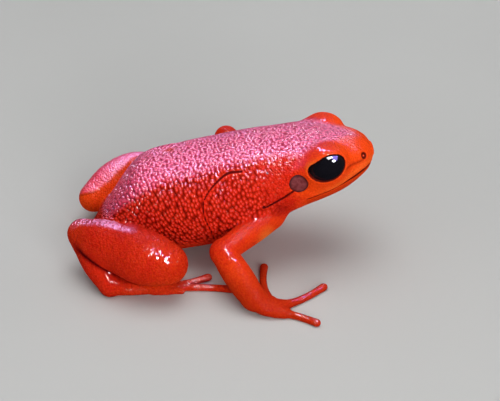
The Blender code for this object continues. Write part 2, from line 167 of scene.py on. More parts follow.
# Wet spots that catch the light: place and reach in the frog's own x, y and z
WET_SPOTS = (
    ((4.95, -8.07, 4.4), 0.45), ((5.5, -8.2, 4.18), 0.5), ((6.05, -8.33, 3.85), 0.5),
    ((6.45, -8.42, 3.55), 0.4), ((0.8, -6.65, 2.8), 0.5), ((1.2, -6.7, 2.2), 0.55),
    ((1.65, -7.0, 1.76), 0.5), ((2.2, -7.11, 1.4), 0.35), ((10.05, -7.05, 3.97), 0.24),
    ((10.35, -7.3, 3.86), 0.2), ((10.84, -7.65, 3.49), 0.2), ((12.26, -4.38, 5.04), 0.25),
    ((9.82, -4.18, 6.94), 0.45), ((17.2, -2.87, 9.73), 0.5), ((17.5, 1.75, 9.72), 0.2),
    ((17.1, 1.7, 9.74), 0.2), ((20.5, -0.3, 8.92), 0.2), ((0.0, 2.58, 3.2), 0.2),
)

SKIN_RADIUS = 3.5  # radius that the rows of beads on the trunk are laid out on

# Joints of the limbs
JOINTS = {
    -1: {
        "shoulder": (13.4, -3.0, 4.2),
        "elbow": (9.95, -6.4, 3.33),
        "wrist": (12.15, -8.75, 0.98),
        "knuckles": (13.9, -9.2, 0.35),
        "hip": (1.6, -1.8, 1.9),
        "knee": (6.0, -7.2, 2.85),
        "heel": (-0.42, -3.6, 3.12),
        "ankle": (1.78, -6.78, 0.72),
        "instep": (5.6, -6.55, 0.34),
    },
    1: {
        "shoulder": (12.8, 3.4, 4.5),
        "elbow": (10.0, 7.6, 5.15),
        "wrist": (11.9, 8.8, 1.05),
        "knuckles": (13.3, 9.4, 0.35),
        "hip": (1.6, 1.8, 1.9),
        "knee": (6.0, 6.9, 2.8),
        "heel": (-0.38, 3.1, 2.22),
        "ankle": (1.5, 6.9, 0.72),
        "instep": (5.5, 7.2, 0.34),
    },
}

# Limb lengths: from joint, to joint, radii on the way and the bow to the side
LIMBS = {
    "upper_arm": ("shoulder", "elbow", (0.98, 1.0, 0.93, 0.88), (0.0, 0.1, 0.05)),
    "forearm": ("elbow", "wrist", (0.88, 1.02, 1.04, 0.9), (-0.05, 0.05, 0.05)),
    "thigh": ("hip", "knee", (1.4, 1.62, 1.55, 1.2), (0.0, 0.0, 0.0)),
    "shank": ("knee", "heel", (1.5, 1.98, 1.77, 1.7, 1.0), (0.0, 0.5, 0.15)),
    "tarsus": ("heel", "ankle", (0.92, 0.95, 0.98, 0.82), (-0.3, 0.1, 0.3)),
}
FAR_CALF = (1.1, 1.35, 2.05, 1.9, 1.05)  # the left calf's radii, which differ
FLOOR_SINK = 0.05  # how far hands and feet reach under the floor, where they are cut flat

# Digits: where each leaves the knuckles or instep, its tip and its root radius
FINGERS = (
    ((-1.0, -0.9), (-2.0, -3.0), 0.36), ((-0.6, -0.9), (-0.95, -5.5), 0.38),
    ((-0.1, -0.25), (3.35, -2.9), 0.4), ((-0.1, 0.2), (2.65, 1.45), 0.38),
)
TOES = (
    ((-1.6, -0.3), (-0.5, -1.45), 0.3), ((-0.8, -0.3), (1.1, -1.75), 0.32),
    ((-0.3, -0.2), (3.2, -1.5), 0.34), ((-0.5, 0.1), (5.05, 0.03), 0.45),
    ((-0.9, 0.05), (1.3, 0.16), 0.26),
)
DIGIT_PLACES = (0.0, 0.33, 0.8, 1.0)
DIGIT_RADII = (0.28, 0.25, 0.29)  # after the root radius, at the places above
DIGIT_BOW = 0.05
KNUCKLE_RISE = 0.02

# Palms and soles: from joint, to joint, widths, heights and digits
PAWS = {
    "palm": ("wrist", "knuckles", (0.85, 1.0, 0.82), (0.85, 0.62, 0.4), FINGERS),
    "sole": ("ankle", "instep", (0.75, 0.7, 0.4), (0.76, 0.54, 0.34), TOES),
}
LIMB_PARTS = (
    ("arm", ("upper_arm", "forearm"), "palm"),
    ("leg", ("thigh", "shank", "tarsus"), "sole"),
)

# How a length joins the rest: width of the round at its joint, and its reach
JOINING = {
    "upper_arm": (0.9, 2.8),
    "forearm": (0.5, 1.5),
    "palm": (0.4, 1.4),
    "digit": (0.35, 1.7),
    "thigh": (0.6, 3.0),
    "shank": (0.6, 1.9),
    "tarsus": (0.6, 2.6),
    "sole": (0.35, 1.3),
}
CREASE = 0.08  # width of the round where flesh only lies on flesh
BOX_MARGIN = 0.95  # more than the widest round
TRUNK_BOX = (-1.0, 6.0)  # rear end and half width of the box the trunk lies in

# The skin's grid: lengths in x, y and z, and their cell's share of the widest
GRID = (
    ((-1.9, 13.8, 1.0), (13.8, 21.6, 0.68)),
    ((-11.3, -4.3, 1.0), (-4.3, 4.3, 0.68), (4.3, 11.5, 1.0)),
    ((-0.35, 4.4, 1.0), (4.4, 10.4, 0.68)),
)

# Eardrum from its front middle round to its back middle: radius and depth
EAR_PROFILE = (
    (0.0, 0.045), (0.2, 0.042), (0.4, 0.035), (0.56, 0.03), (0.66, 0.02), (0.73, -0.03),
    (0.76, -0.12), (0.72, -0.24), (0.6, -0.3), (0.3, -0.31), (0.0, -0.31),
)

# Colours, in 0 to 255 screen values
RED = (214, 34, 14)
RED_LIGHT = (228, 44, 18)
ORANGE = (242, 72, 16)
PALE_ORANGE = (250, 118, 44)
# Rosy colour of a painted sheen, the reflection of the wide light behind
PAINTED_SHEEN_PINK = (250, 80, 120)
# Painted highlight on the tops of the granules
PAINTED_BEAD_HIGHLIGHT = (250, 98, 96)
# Painted shade: in the grooves between granules, and as soft shade
PAINTED_SHADE_RED = (112, 6, 6)
# Painted shade in the grooves under the painted rosy sheen
PAINTED_GROOVE_SHADE_PINK = (170, 16, 60)
# Painted shade in thin creases and folds, and dark flecks
CREASE_SHADE_AND_FLECK_RED = (62, 4, 6)
EYE_BLACK = (18, 17, 22)
IRIS_BROWN = (44, 34, 32)
DRUM_DARK = (104, 34, 36)
DRUM_LIGHT = (136, 60, 64)
DRUM_RIM = (66, 16, 16)
FLOOR_DARK = (186, 186, 184)
FLOOR_LIGHT = (192, 192, 190)

# Sizes of what the materials show, and depths of its relief, in millimetres
BEAD_SIZE = 0.27
BEAD_ROWS = (0.3, 1.0)  # turn of the rows, in radians, and how far drawn out
BEAD_DEPTH = 0.36
LONG_SIZE = 0.19
LONG_ROWS = (0.25, 1.4)
LONG_DEPTH = 0.2
SMALL_SIZE = 0.15
SMALL_DEPTH = 0.1
SHIFT = (0.9, 0.05)  # size and reach of the waves in the small granules' places
DROP_SIZE = 0.26
DROP_DEPTH = 0.035
WIDE_SIZE = 2.4
PATCH_SIZE = 0.9
MOTTLE_SIZE = 0.16
SHINE_SIZE = 0.25
FLECK_SIZE = 0.09
FLECK_DEPTH = 0.004
DRUM_MOTTLE_SIZE = 0.28
DRUM_CELL_SIZE = 0.16
DRUM_CELL_DEPTH = 0.012
FLOOR_NOISE_SIZE = 60.0

# Camera, in millimetres
CAMERA_TARGET = (11.9, 0.0, 3.8)
CAMERA_HEIGHT = math.radians(31.0)
CAMERA_DISTANCE = 94.7
CAMERA_LENS = 90.0

# Lights: place and sides in metres, colour, and whether only reflections show it
WHITE = (1.0, 1.0, 1.0)
COOL = (0.9, 0.93, 1.0)
LIGHT_TARGET = (0.0, 0.0, 0.005)
LIGHTS = {
    "overhead": ((0.0, 0.03, 0.45), (0.4, 0.4), WHITE, False),
    "key": ((0.12, -0.3, 0.12), (0.2, 0.2), WHITE, False),
    "strip": ((0.015, 0.01, 0.235), (0.15, 0.1), COOL, True),
    "sky": ((0.12, 0.01, 0.205), (0.15, 0.1), (0.35, 0.25, 1.0), True),
    "glint": ((0.12, -0.09, 0.2), (0.05, 0.05), COOL, True),
    "sheen": ((-0.02, 0.34, 0.3), (0.3, 0.22), WHITE, True),
    "spark": ((0.1, -0.155, 0.165), (0.09, 0.06), COOL, True),
}
WORLD_COLOR = (0.9, 0.92, 0.96, 1.0)
WORLD_STRENGTH = 0.3

COS = math.cos(BODY_PITCH)
SIN = math.sin(BODY_PITCH)


def smooth_path(points, steps):
    """Catmull-Rom curve: each span is the cubic of its four nearest points."""
    p = np.asarray(points, float)
    q = np.vstack([2 * p[0] - p[1], p, 2 * p[-1] - p[-2]])
    t = (np.arange(steps) / steps)[:, None]
    spans = []
    for a, b, c, d in zip(q[:-3], q[1:-2], q[2:-1], q[3:]):
        cubic = (-a + 3 * b - 3 * c + d) * t**3
        square = (2 * a - 5 * b + 4 * c - d) * t**2
        spans.append(0.5 * (2 * b + (c - a) * t + square + cubic))
    return np.vstack(spans + [p[-1:]])


BODY_CURVE = smooth_path(BODY_SECTIONS, 16)
CREASE_CURVE = smooth_path(FLANK_CREASE, 4)


def to_body(points):
    """Along, across and up: the point less the vent, turned back by the pitch."""
    x = points[:, 0]
    z = points[:, 2] - VENT_HEIGHT
    return x * COS + z * SIN, points[:, 1], z * COS - x * SIN


def from_body(along, across, up):
    """Frog coordinates of body directions: the turn by the pitch, then the vent."""
    x = along * COS - up * SIN
    z = along * SIN + up * COS + VENT_HEIGHT
    return np.stack(np.broadcast_arrays(x, across, z), axis=-1)


def ease(value, low, high):
    """Smooth step: 0 below low, 1 above high and 3t^2 - 2t^3 between."""
    t = np.clip((value - low) / (high - low), 0.0, 1.0)
    return t * t * (3 - 2 * t)


def soft_min(a, b, k):
    """Smaller of two distances, rounded over the width k where they meet."""
    h = np.clip(0.5 + 0.5 * (b - a) / k, 0.0, 1.0)
    return b * (1 - h) + a * h - k * h * (1 - h)


def soft_max(a, b, k):
    """Larger of two distances, rounded over the width k where they meet."""
    return -soft_min(-a, -b, k)


def bell(value, width):
    """Bell curve, e to the power of minus the squared share of the width."""
    return np.exp(-((value / width) ** 2))


def read(line, place):
    """Second number of a line of pairs, read between them at its first."""
    return np.interp(place, *zip(*line))


def gap_to(points, spot):
    """Distance of each point to one spot."""
    return np.linalg.norm(points - np.array(spot), axis=1)


def mouth_height(along):
    """Height of the line of the mouth, read along its points."""
    return read(MOUTH_LINE, along)


def section(along):
    """Top, bottom and half width of the body, read along it."""
    return [np.interp(along, BODY_CURVE[:, 0], BODY_CURVE[:, k]) for k in (1, 2, 3)]


def body_share(along, across, up):
    """How far out a point lies in its cross section, 1 on the body's surface.

    The section is |y / half width|^p + |z / half height|^p = 1, with the sizes
    read along the body, and past each end the share grows with the distance.
    """
    top, bottom, half = section(along)
    middle = (top + bottom) / 2
    jaw = ease(mouth_height(along) - up, -0.1, 0.25) * ease(along, 15.6, 17.0)
    half = half * (1 - JAW_NARROWING * jaw)
    y = np.abs(across / half) ** BODY_POWER
    z = np.abs((up - middle) / ((top - bottom) / 2)) ** BODY_POWER
    past = np.maximum(along - BODY_SECTIONS[-1][0], BODY_SECTIONS[0][0] - along)
    past = np.maximum(past, 0.0) / BODY_END
    return ((y + z) ** (2 / BODY_POWER) + past**2) ** 0.5


def body_distance(points):
    """Share less one, over the length of its slope, which is nearly a distance."""
    along, across, up = to_body(points)
    step = 0.02
    here = body_share(along, across, up)
    slope = np.zeros_like(here)
    for shift in ((step, 0, 0), (0, step, 0), (0, 0, step)):
        ahead = body_share(along + shift[0], across + shift[1], up + shift[2])
        behind = body_share(along - shift[0], across - shift[1], up - shift[2])
        slope += ((ahead - behind) / (2 * step)) ** 2
    return (here - 1) / np.maximum(np.sqrt(slope), 0.12)


def ball_distance(points, centre, radii):
    """Ellipsoid in body directions: share less one, over its slope."""
    along, across, up = to_body(points)
    q = np.stack([along - centre[0], across - centre[1], up - centre[2]], axis=1)
    share = np.linalg.norm(q / radii, axis=1)
    slope = np.linalg.norm(q / np.square(radii), axis=1) / np.maximum(share, 1e-6)
    return (share - 1) / np.maximum(slope, 0.2)


def tube_distance(points, path, sizes):
    """Least distance to the straight lengths of a path, less the radius there.

    Width and height change evenly along each length, and the height counts
    across the path in the upright plane, so that flat paws are ellipses.
    """
    best = np.full(len(points), FAR)
    for a, b, start, stop in zip(path[:-1], path[1:], sizes[:-1], sizes[1:]):
        run = b - a
        share = np.clip((points - a) @ run / (run @ run), 0.0, 1.0)
        away = points - (a + share[:, None] * run)
        width, height = (start + (stop - start) * share[:, None]).T
        ahead = run / np.linalg.norm(run)
        over = np.array((0.0, 0.0, 1.0)) - ahead * ahead[2]
        over /= np.linalg.norm(over)
        rise = away @ over
        flat = np.maximum((away**2).sum(1) - rise**2, 0.0)
        scaled = np.sqrt(flat / width**2 + rise**2 / height**2)
        best = np.minimum(best, (scaled - 1) * np.minimum(width, height))
    return best


def limb_radii(side, name):
    """Radii of a limb length, which differ on the left calf."""
    return FAR_CALF if (side, name) == (1, "shank") else LIMBS[name][2]


def joint_at(side, name):
    """Place of a joint, as an array."""
    return np.array(JOINTS[side][name])


def joined(side, first, second, count):
    """Even points from one joint to another, and their shares of the way."""
    a, b = joint_at(side, first), joint_at(side, second)
    share = np.linspace(0, 1, count)[:, None]
    return a + (b - a) * share, share


def smoothed(points, widths, heights, steps):
    """Path through points, smoothed together with its widths and heights."""
    fine = smooth_path(np.column_stack([points, widths, heights]), steps)
    return fine[:, :3], fine[:, 3:]


def limb_path(side, name):
    """Path and sizes of one limb length, bowed by a half sine between joints."""
    first, second, _, bow = LIMBS[name]
    radii = limb_radii(side, name)
    points, share = joined(side, first, second, len(radii))
    bend = np.array((bow[0], bow[1] * side, bow[2]))
    return smoothed(points + bend * np.sin(share * math.pi), radii, radii, 4)


def paw_path(side, name):
    """Path and sizes of a palm or sole, straight between joints and on the floor."""
    first, second, widths, heights, _ = PAWS[name]
    points, _ = joined(side, first, second, len(widths))
    points[1:, 2] = np.array(heights)[1:] - FLOOR_SINK
    return smoothed(points, widths, heights, 4)


def digit_path(side, second, digit, order):
    """Path and sizes of a finger or toe along the floor, bowed by a half sine."""
    root, tip, radius = digit
    base = joint_at(side, second)[:2]
    a = base + np.array((root[0], root[1] * side))
    b = base + np.array((tip[0], tip[1] * side))
    run = b - a
    across = np.array((-run[1], run[0])) * DIGIT_BOW * (1 if order % 2 else -1)
    t = np.linspace(0, 1, 7)
    knuckle = KNUCKLE_RISE * np.cos(t * math.pi * 5) ** 2
    radii = np.interp(t, DIGIT_PLACES, (radius, *DIGIT_RADII)) + knuckle
    heights = radii * np.interp(t, (0, 0.8, 1), (1.0, 1.0, 0.88))
    flat = a + run * t[:, None] + across * np.sin(t * math.pi)[:, None]
    points = np.column_stack([flat, heights - FLOOR_SINK])
    return smoothed(points, radii, heights, 2)


def line_distance(a, b, path):
    """Least distance in a plane to the straight lengths of a path."""
    best = np.full(len(a), FAR)
    for first, second in zip(np.array(path[:-1], float), np.array(path[1:], float)):
        run = second - first
        share = ((a - first[0]) * run[0] + (b - first[1]) * run[1]) / (run @ run)
        share = np.clip(share, 0.0, 1.0)
        off = np.hypot(a - first[0] - share * run[0], b - first[1] - share * run[1])
        best = np.minimum(best, off)
    return best


def body_side(along, up):
    """Half width of the body at a height: the section's equation solved for y."""
    top, bottom, half = section(along)
    z = np.abs((up - (top + bottom) / 2) / ((top - bottom) / 2))
    z = np.minimum(z, 0.99)
    return half * (1 - z**BODY_POWER) ** (1 / BODY_POWER)


def opening_distance(along, up):
    """Edge of the eye's opening: an ellipse cut off straight by the lid behind."""
    du = along - EYE_AT[0] - OPENING_AT[0]
    dv = up - EYE_AT[2] - OPENING_AT[1]
    cos, sin = math.cos(OPENING_TILT), math.sin(OPENING_TILT)
    a = (du * cos + dv * sin) / OPENING_RADII[0]
    b = (dv * cos - du * sin) / OPENING_RADII[1]
    share = np.hypot(a, b)
    slope = np.hypot(a / OPENING_RADII[0], b / OPENING_RADII[1]) / np.maximum(share, 1e-6)
    oval = (share - 1) / np.maximum(slope, 0.3)
    off = (up - EYE_AT[2] - OPENING_LINE[1]) * math.cos(OPENING_SLOPE)
    off -= (along - EYE_AT[0] - OPENING_LINE[0]) * math.sin(OPENING_SLOPE)
    return soft_max(oval, off, 0.25)


def nostril_distance(along, out, up):
    """Distance to the nostril's middle on the body's surface."""
    side = body_side(NOSTRIL_AT[0], NOSTRIL_AT[1])
    gaps = (along - NOSTRIL_AT[0], out - side, up - NOSTRIL_AT[1])
    return np.sqrt(sum(gap**2 for gap in gaps))


def skin_side(along, up):
    """Half width of the finished skin: from the body out by its distance, often."""
    out = body_side(along, up)
    for _ in range(12):
        out = out - trunk_distance(from_body(along, out, up))
    return out


def form(name, gap):
    """Depth of a fine form at a distance from its line: a bell curve."""
    depth, place, width = FORMS[name]
    return depth * bell(gap - place, width)


def trunk_distance(points):
    """Body with its lids, eye openings, mouth, nostrils, ear hollows and creases.

    Each fine form is a bell curve or smooth step added to the body's distance,
    and the two sides are one, since only the size of the y coordinate counts.
    """
    along, across, up = to_body(points)
    out = np.abs(across)
    sided = from_body(along, out, up)
    lid = ball_distance(sided, LID_AT, LID_RADII)
    total = soft_min(body_distance(points), lid, 0.6)
    ball = ball_distance(sided, EYE_AT, EYE_RADII)
    opening = opening_distance(along, up)
    on_side = ease(out, 1.6, 2.2)
    total += form("lid_rim", opening) * bell(ball, 0.6) * on_side
    jaw = ease(along, MOUTH_CORNER - 0.2, MOUTH_CORNER + 0.9)
    lips = jaw * (1 - 0.8 * ease(along, 21.0, 21.8))
    level = up - mouth_height(along)
    total += form("mouth", level) * jaw
    total += form("upper_lip", level) * lips
    total += form("lower_lip", level) * lips
    nostril = nostril_distance(along, out, up)
    total += form("nostril", nostril) + form("nostril_rim", nostril)
    ear = np.hypot(along - EAR_AT[0], up - EAR_AT[1])
    total += EAR_DEPTH * (1 - ease(ear, EAR_RADIUS - 0.15, EAR_RADIUS + 0.13)) * on_side
    total += form("flank_crease", line_distance(along, up, CREASE_CURVE)) * on_side
    total += form("ear_fold", line_distance(along, up, EAR_FOLD)) * on_side
    total += form("hip_ridge", line_distance(along, out, HIP_RIDGE)) * ease(up, 1.0, 2.2)
    pocket = np.maximum(opening - 0.2 * np.maximum(ball, 0.0), EYE_AT[1] - 0.3 - out)
    return soft_max(total, -pocket, 0.06)


def limb_shapes():
    """Every length: its limb, path and sizes, the joint it grows from, and name."""
    shapes = []
    for side in SIDES:
        joints = JOINTS[side]
        for limb, lengths, paw in LIMB_PARTS:
            for name in lengths:
                shapes.append((limb, limb_path(side, name), joints[LIMBS[name][0]], name))
            root, end, _, _, digits = PAWS[paw]
            shapes.append((limb, paw_path(side, paw), joints[root], paw))
            for order, digit in enumerate(digits):
                path = digit_path(side, end, digit, order)
                shapes.append((limb, path, joints[end], "digit"))
    return shapes


LIMB_SHAPES = limb_shapes()


def near_path(points, path, sizes):
    """Which points lie within a path's box, widened by its size and the blend."""
    margin = sizes.max() + BOX_MARGIN
    return ((points > path.min(0) - margin) & (points < path.max(0) + margin)).all(axis=1)


def frog_distance(points):
    """Distance to the whole frog: body and limbs, softly joined at the joints.

    Each length joins the rest with a wide round near its own joint, and with a
    narrow one elsewhere, where flesh only lies on flesh and a crease shows.
    """
    total = np.full(len(points), FAR)
    near = (points[:, 0] > TRUNK_BOX[0]) & (np.abs(points[:, 1]) < TRUNK_BOX[1])
    total[near] = trunk_distance(points[near])
    for _, (path, sizes), joint, name in LIMB_SHAPES:
        near = near_path(points, path, sizes)
        close = points[near]
        shape = tube_distance(close, path, sizes)
        blend, reach = JOINING[name]
        away = gap_to(close, joint)
        width = CREASE + (blend - CREASE) * (1 - ease(away, 0.4 * reach, reach))
        total[near] = soft_min(total[near], shape, width)
    return np.maximum(total, -points[:, 2])


def slopes(points):
    """Distance and its slope along x, y and z, by small steps."""
    step = 0.01
    here = frog_distance(points)
    ahead = [frog_distance(points + step * axis) for axis in np.eye(3)]
    return here, (np.stack(ahead, axis=1) - here[:, None]) / step


def surface_net(values, axes):
    """Closed surface where the values on a grid of points pass through zero.

    Each grid cell that the surface crosses gets one point, the mean of the
    crossings on the cell's edges, and each crossed grid edge gets one face,
    which joins the points of its four cells and faces the positive side.
    """
    inside = values < 0
    shape = np.array(values.shape)
    cells = np.zeros(shape - 1, int)
    for corner in np.ndindex(2, 2, 2):
        part = tuple(slice(c, n - 1 + c) for c, n in zip(corner, shape))
        cells += inside[part]
    crossed = (cells > 0) & (cells < 8)
    number = np.full(crossed.shape, -1)
    number[crossed] = np.arange(crossed.sum())
    cell = np.argwhere(crossed)
    total = np.zeros((len(cell), 3))
    count = np.zeros(len(cell))
    for axis in range(3):
        others = [k for k in range(3) if k != axis]
        for corner in np.ndindex(2, 2):
            first = cell.copy()
            first[:, others] += corner
            second = first.copy()
            second[:, axis] += 1
            a = values[tuple(first.T)]
            b = values[tuple(second.T)]
            cut = (a < 0) != (b < 0)
            share = np.where(cut, a / np.where(cut, a - b, 1.0), 0.0)
            place = first.astype(float)
            place[:, axis] += share
            total += place * cut[:, None]
            count += cut
    places = total / count[:, None]
    points = [np.interp(places[:, k], np.arange(len(axes[k])), axes[k]) for k in range(3)]
    faces = []
    for axis in range(3):
        ahead, side = (axis + 1) % 3, (axis + 2) % 3
        low = inside.take(np.arange(shape[axis] - 1), axis)
        high = inside.take(np.arange(1, shape[axis]), axis)
        edge = np.argwhere(low != high)
        edge = edge[(edge[:, ahead] > 0) & (edge[:, side] > 0)]
        corners = []
        for step in ((1, 1), (0, 1), (0, 0), (1, 0)):
            at = edge.copy()
            at[:, ahead] -= step[0]
            at[:, side] -= step[1]
            corners.append(number[tuple(at.T)])
        quads = np.stack(corners, axis=1)
        outward = inside[tuple(edge.T)]
        faces.append(np.where(outward[:, None], quads, quads[:, ::-1]))
    return np.stack(points, axis=1), np.vstack(faces)


def relaxed(points, faces, rounds):
    """Move each point halfway to its neighbours' mean, then back on the surface.

    The way back is the distance over its slope, along the slope, three times,
    each time by a small length at most.
    """
    most = 0.06
    pairs = np.vstack([np.roll(faces, k, axis=1)[:, :2] for k in range(4)])
    count = np.bincount(pairs[:, 0], minlength=len(points))
    for _ in range(rounds):
        mean = [np.bincount(pairs[:, 0], points[pairs[:, 1], k], len(points)) for k in range(3)]
        points = 0.5 * points + 0.5 * np.stack(mean, axis=1) / count[:, None]
    for _ in range(3):
        here, slope = slopes(points)
        size = np.maximum((slope**2).sum(1), 0.25)
        move = slope * (here / size)[:, None]
        length = np.linalg.norm(move, axis=1, keepdims=True)
        points = points - move * np.minimum(1.0, most / np.maximum(length, 1e-9))
    return points


def region_shares(points):
    """How much each point belongs to the arms and legs, from 0 to 1.

    It is a smooth step of the distance to the rest less that to the limb.
    """
    near = {"arm": np.full(len(points), FAR), "leg": np.full(len(points), FAR)}
    for limb, (path, sizes), _, _ in LIMB_SHAPES:
        close = near_path(points, path, sizes)
        shape = tube_distance(points[close], path, sizes)
        near[limb][close] = np.minimum(near[limb][close], shape)
    trunk = body_distance(points)
    arm = ease(np.minimum(trunk, near["leg"]) - near["arm"], -0.2, 0.6)
    leg = ease(np.minimum(trunk, near["arm"]) - near["leg"], -0.2, 0.4)
    return arm, leg


def leg_fold(points, side):
    """Distance to where the calf lies on the tarsus and sole, and its share of painted shade.

    It is the larger of the two distances, to the calf and to what lies under it,
    and near the heel, where they are one, the share fades.
    """
    paths = [limb_path(side, "shank"), limb_path(side, "tarsus"), paw_path(side, "sole")]
    calf, tarsus, sole = (tube_distance(points, *path) for path in paths)
    gap = np.maximum(calf, np.minimum(tarsus, sole))
    heel = gap_to(points, JOINTS[side]["heel"])
    return np.maximum(gap, 0.0), ease(heel, 0.9, 2.0)


def calf_lean(points, side):
    """How far a point lies up and out from the calf's middle line, over its radius.

    The middle line is the bowed path between knee and heel, and the share rises
    to 1 on the side that faces up and away from the body.
    """
    knee, heel = joint_at(side, "knee"), joint_at(side, "heel")
    run = heel - knee
    share = np.clip((points - knee) @ run / (run @ run), 0.0, 1.0)
    radii, bow = limb_radii(side, "shank"), LIMBS["shank"][3]
    bend = np.array((bow[0], bow[1] * side, bow[2])) * np.sin(share * math.pi)[:, None]
    away = points - (knee + share[:, None] * run + bend)
    radius = np.interp(share, np.linspace(0, 1, len(radii)), radii)
    return away @ np.array((CALF_UP[0], CALF_UP[1] * side, CALF_UP[2])) / radius


class Skin:
    """Where each point of the skin lies: arrays that all the marks are made from.

    along, across and up are body directions and out is the distance from the
    middle plane. trunk, arm, leg, face, belly, rear, band and far are shares
    from 0 to 1, for the parts of the frog that they name.
    """

    def __init__(self, points):
        self.points = points
        self.along, self.across, self.up = to_body(points)
        self.out = np.abs(self.across)
        self.on_side = ease(self.out, 1.2, 2.2)
        self.arm, self.leg = region_shares(points)
        self.trunk = np.clip(1 - self.arm - self.leg, 0.0, 1.0)
        low = ease(read(CHEEK_LINE, self.along) - self.up, -0.35, 0.35)
        brow = ease(self.out - read(BROW_LINE, self.along), -0.5, 0.45)
        self.face = ease(self.along, *FACE) * np.maximum(low, brow) * self.trunk
        self.crown = ease(self.along, *CROWN)
        self.belly = ease(-1.1 - self.up, -0.6, 0.8)
        self.rear = 1 - ease(self.along, *RUMP_END)
        self.over_back = self.up - read(BACK_LINE, self.along)
        behind = 1 - ease(self.along, *LIDS_FRONT)
        self.lid_rear = ease(self.up, 1.7, 2.3) * behind * self.face
        # Eyes, nostrils, mouth, folds and crease, as distances
        sided = from_body(self.along, self.out, self.up)
        self.opening = opening_distance(self.along, self.up)
        self.ball = ball_distance(sided, EYE_AT, EYE_RADII)
        self.socket = (1 - ease(self.ball, 0.2, 0.75)) * ease(self.out, 0.8, 1.4)
        self.nostril = nostril_distance(self.along, self.out, self.up)
        self.jaw = ease(self.along, MOUTH_CORNER - 0.1, MOUTH_CORNER + 0.6)
        self.level = self.up - mouth_height(self.along)
        self.crease = line_distance(self.along, self.up, CREASE_CURVE)
        self.folds = [leg_fold(points, side) for side in SIDES]
        rim = self.on_side * (1 - ease(self.ball, 0.35, 0.7))
        self.lid = rim * bell(self.opening - 0.12, 0.12) * ease(self.out, 2.6, 3.1)
        # Tops of the legs that get the painted rosy sheen: a band on the near shank, the upper half
        # of the far one
        x, y, z = points.T
        band = self.leg * ease(y - read(SHANK_BORDER, x), -0.3, 0.2) * (y < 0)
        self.band = band * ease(z, 3.6, 4.2) * (1 - ease(x, 3.2, 4.0))
        self.far = self.leg * (y > 0)
        self.lean = calf_lean(points, 1) - read(CALF_BORDER, x)
        self.upper = ease(self.lean, -0.1, 0.2)
        spot = np.hypot(self.along - BACK_PATCH[0], self.across - BACK_PATCH[1])
        self.patch = bell(spot, BACK_PATCH[2]) * self.trunk * ease(self.up, 2.0, 3.0)


def painted_sheen_share(s):
    """Share of painted rosy sheen, a reflection: the trunk over the line of the back, lids and tops
    of legs.
    """
    rose = ease(s.over_back, -0.35, 0.25) * s.trunk * (1 - 0.6 * s.face)
    rose = rose * (1 - 0.6 * ease(s.along, 20.2, 21.8))
    rose = np.maximum(rose, 0.6 * s.lid_rear)
    rose = rose + 0.7 * s.band + 0.8 * s.far * s.upper
    return rose * (1 - 0.8 * s.patch)


def orange_share(s):
    """Share of orange: face, snout, limbs, belly, and bells round knees and heels."""
    lids = ease(s.up, 1.9, 2.5)
    temple = ease(18.2 - s.along, 0.0, 1.2) * ease(s.up, 0.9, 1.6)
    orange = (0.8 - 0.5 * np.maximum(lids, temple)) * s.face + 0.35 * s.crown * s.trunk
    orange = orange + 0.3 * s.arm + 0.15 * s.leg + 0.25 * s.belly
    for side in SIDES:
        for joint, share in (("knee", 0.4), ("heel", 0.3)):
            away = gap_to(s.points, JOINTS[side][joint])
            orange = orange + share * s.leg * (1 - ease(away, 0.6, 3.0))
    orange = np.maximum(orange, s.lid) * (1 - 0.7 * s.lid_rear)
    orange = orange + 0.6 * s.far * (1 - s.upper)
    return orange + 0.6 * s.patch + 0.2 * s.socket * s.trunk


def pale_share(s):
    """Share of pale orange: rear of the lids, upper lip and inside of the arms."""
    pale = 0.7 * s.lid * ease(s.up, 1.5, 2.2) * (1 - ease(s.along, 17.6, 18.6))
    lip = bell(s.level - 0.42, 0.3) * ease(s.along, 16.8, 19.0) * s.trunk
    pale = np.maximum(pale, 0.4 * lip)
    for side in SIDES:
        shoulder, elbow = joint_at(side, "shoulder"), joint_at(side, "elbow")
        middle = shoulder + 0.42 * (elbow - shoulder) + np.array(INNER_ARM)
        inner = 1 - ease(gap_to(s.points, middle), 0.4, 1.3)
        pale = np.maximum(pale, 0.95 * inner * s.arm)
    return pale


def painted_shade_share(s):
    """Share of painted soft shade: eye stripe, folds, under the jaw, edge of the far calf, throat,
    arms, near leg.
    """
    stripe = line_distance(s.along, s.up, EYE_STRIPE)
    dark = 0.6 * bell(stripe, 0.1) * s.on_side * s.trunk
    for gap, share in s.folds:
        dark = np.maximum(dark, 0.9 * bell(gap, 0.17) * share)
    dark = np.maximum(dark, 0.35 * s.jaw * ease(-s.level, 0.0, 0.15) * s.trunk)
    x, y, z = s.points.T
    edge = s.far * bell(s.lean + 0.04, 0.06) * ease(0.6 - x, 0.0, 1.0)
    dark = np.maximum(dark, 0.6 * edge)
    # Painted shade on the arms, darker toward the floor, and on the near leg
    dark = dark + s.arm * (0.2 + 0.3 * ease(3.4 - z, 0.0, 1.8)) + 0.27 * s.leg * (y < 0)
    throat = bell(np.hypot(s.along - THROAT_SHADE[0], s.up - THROAT_SHADE[1]), THROAT_SHADE[2])
    return dark + 0.6 * throat * s.on_side * s.trunk


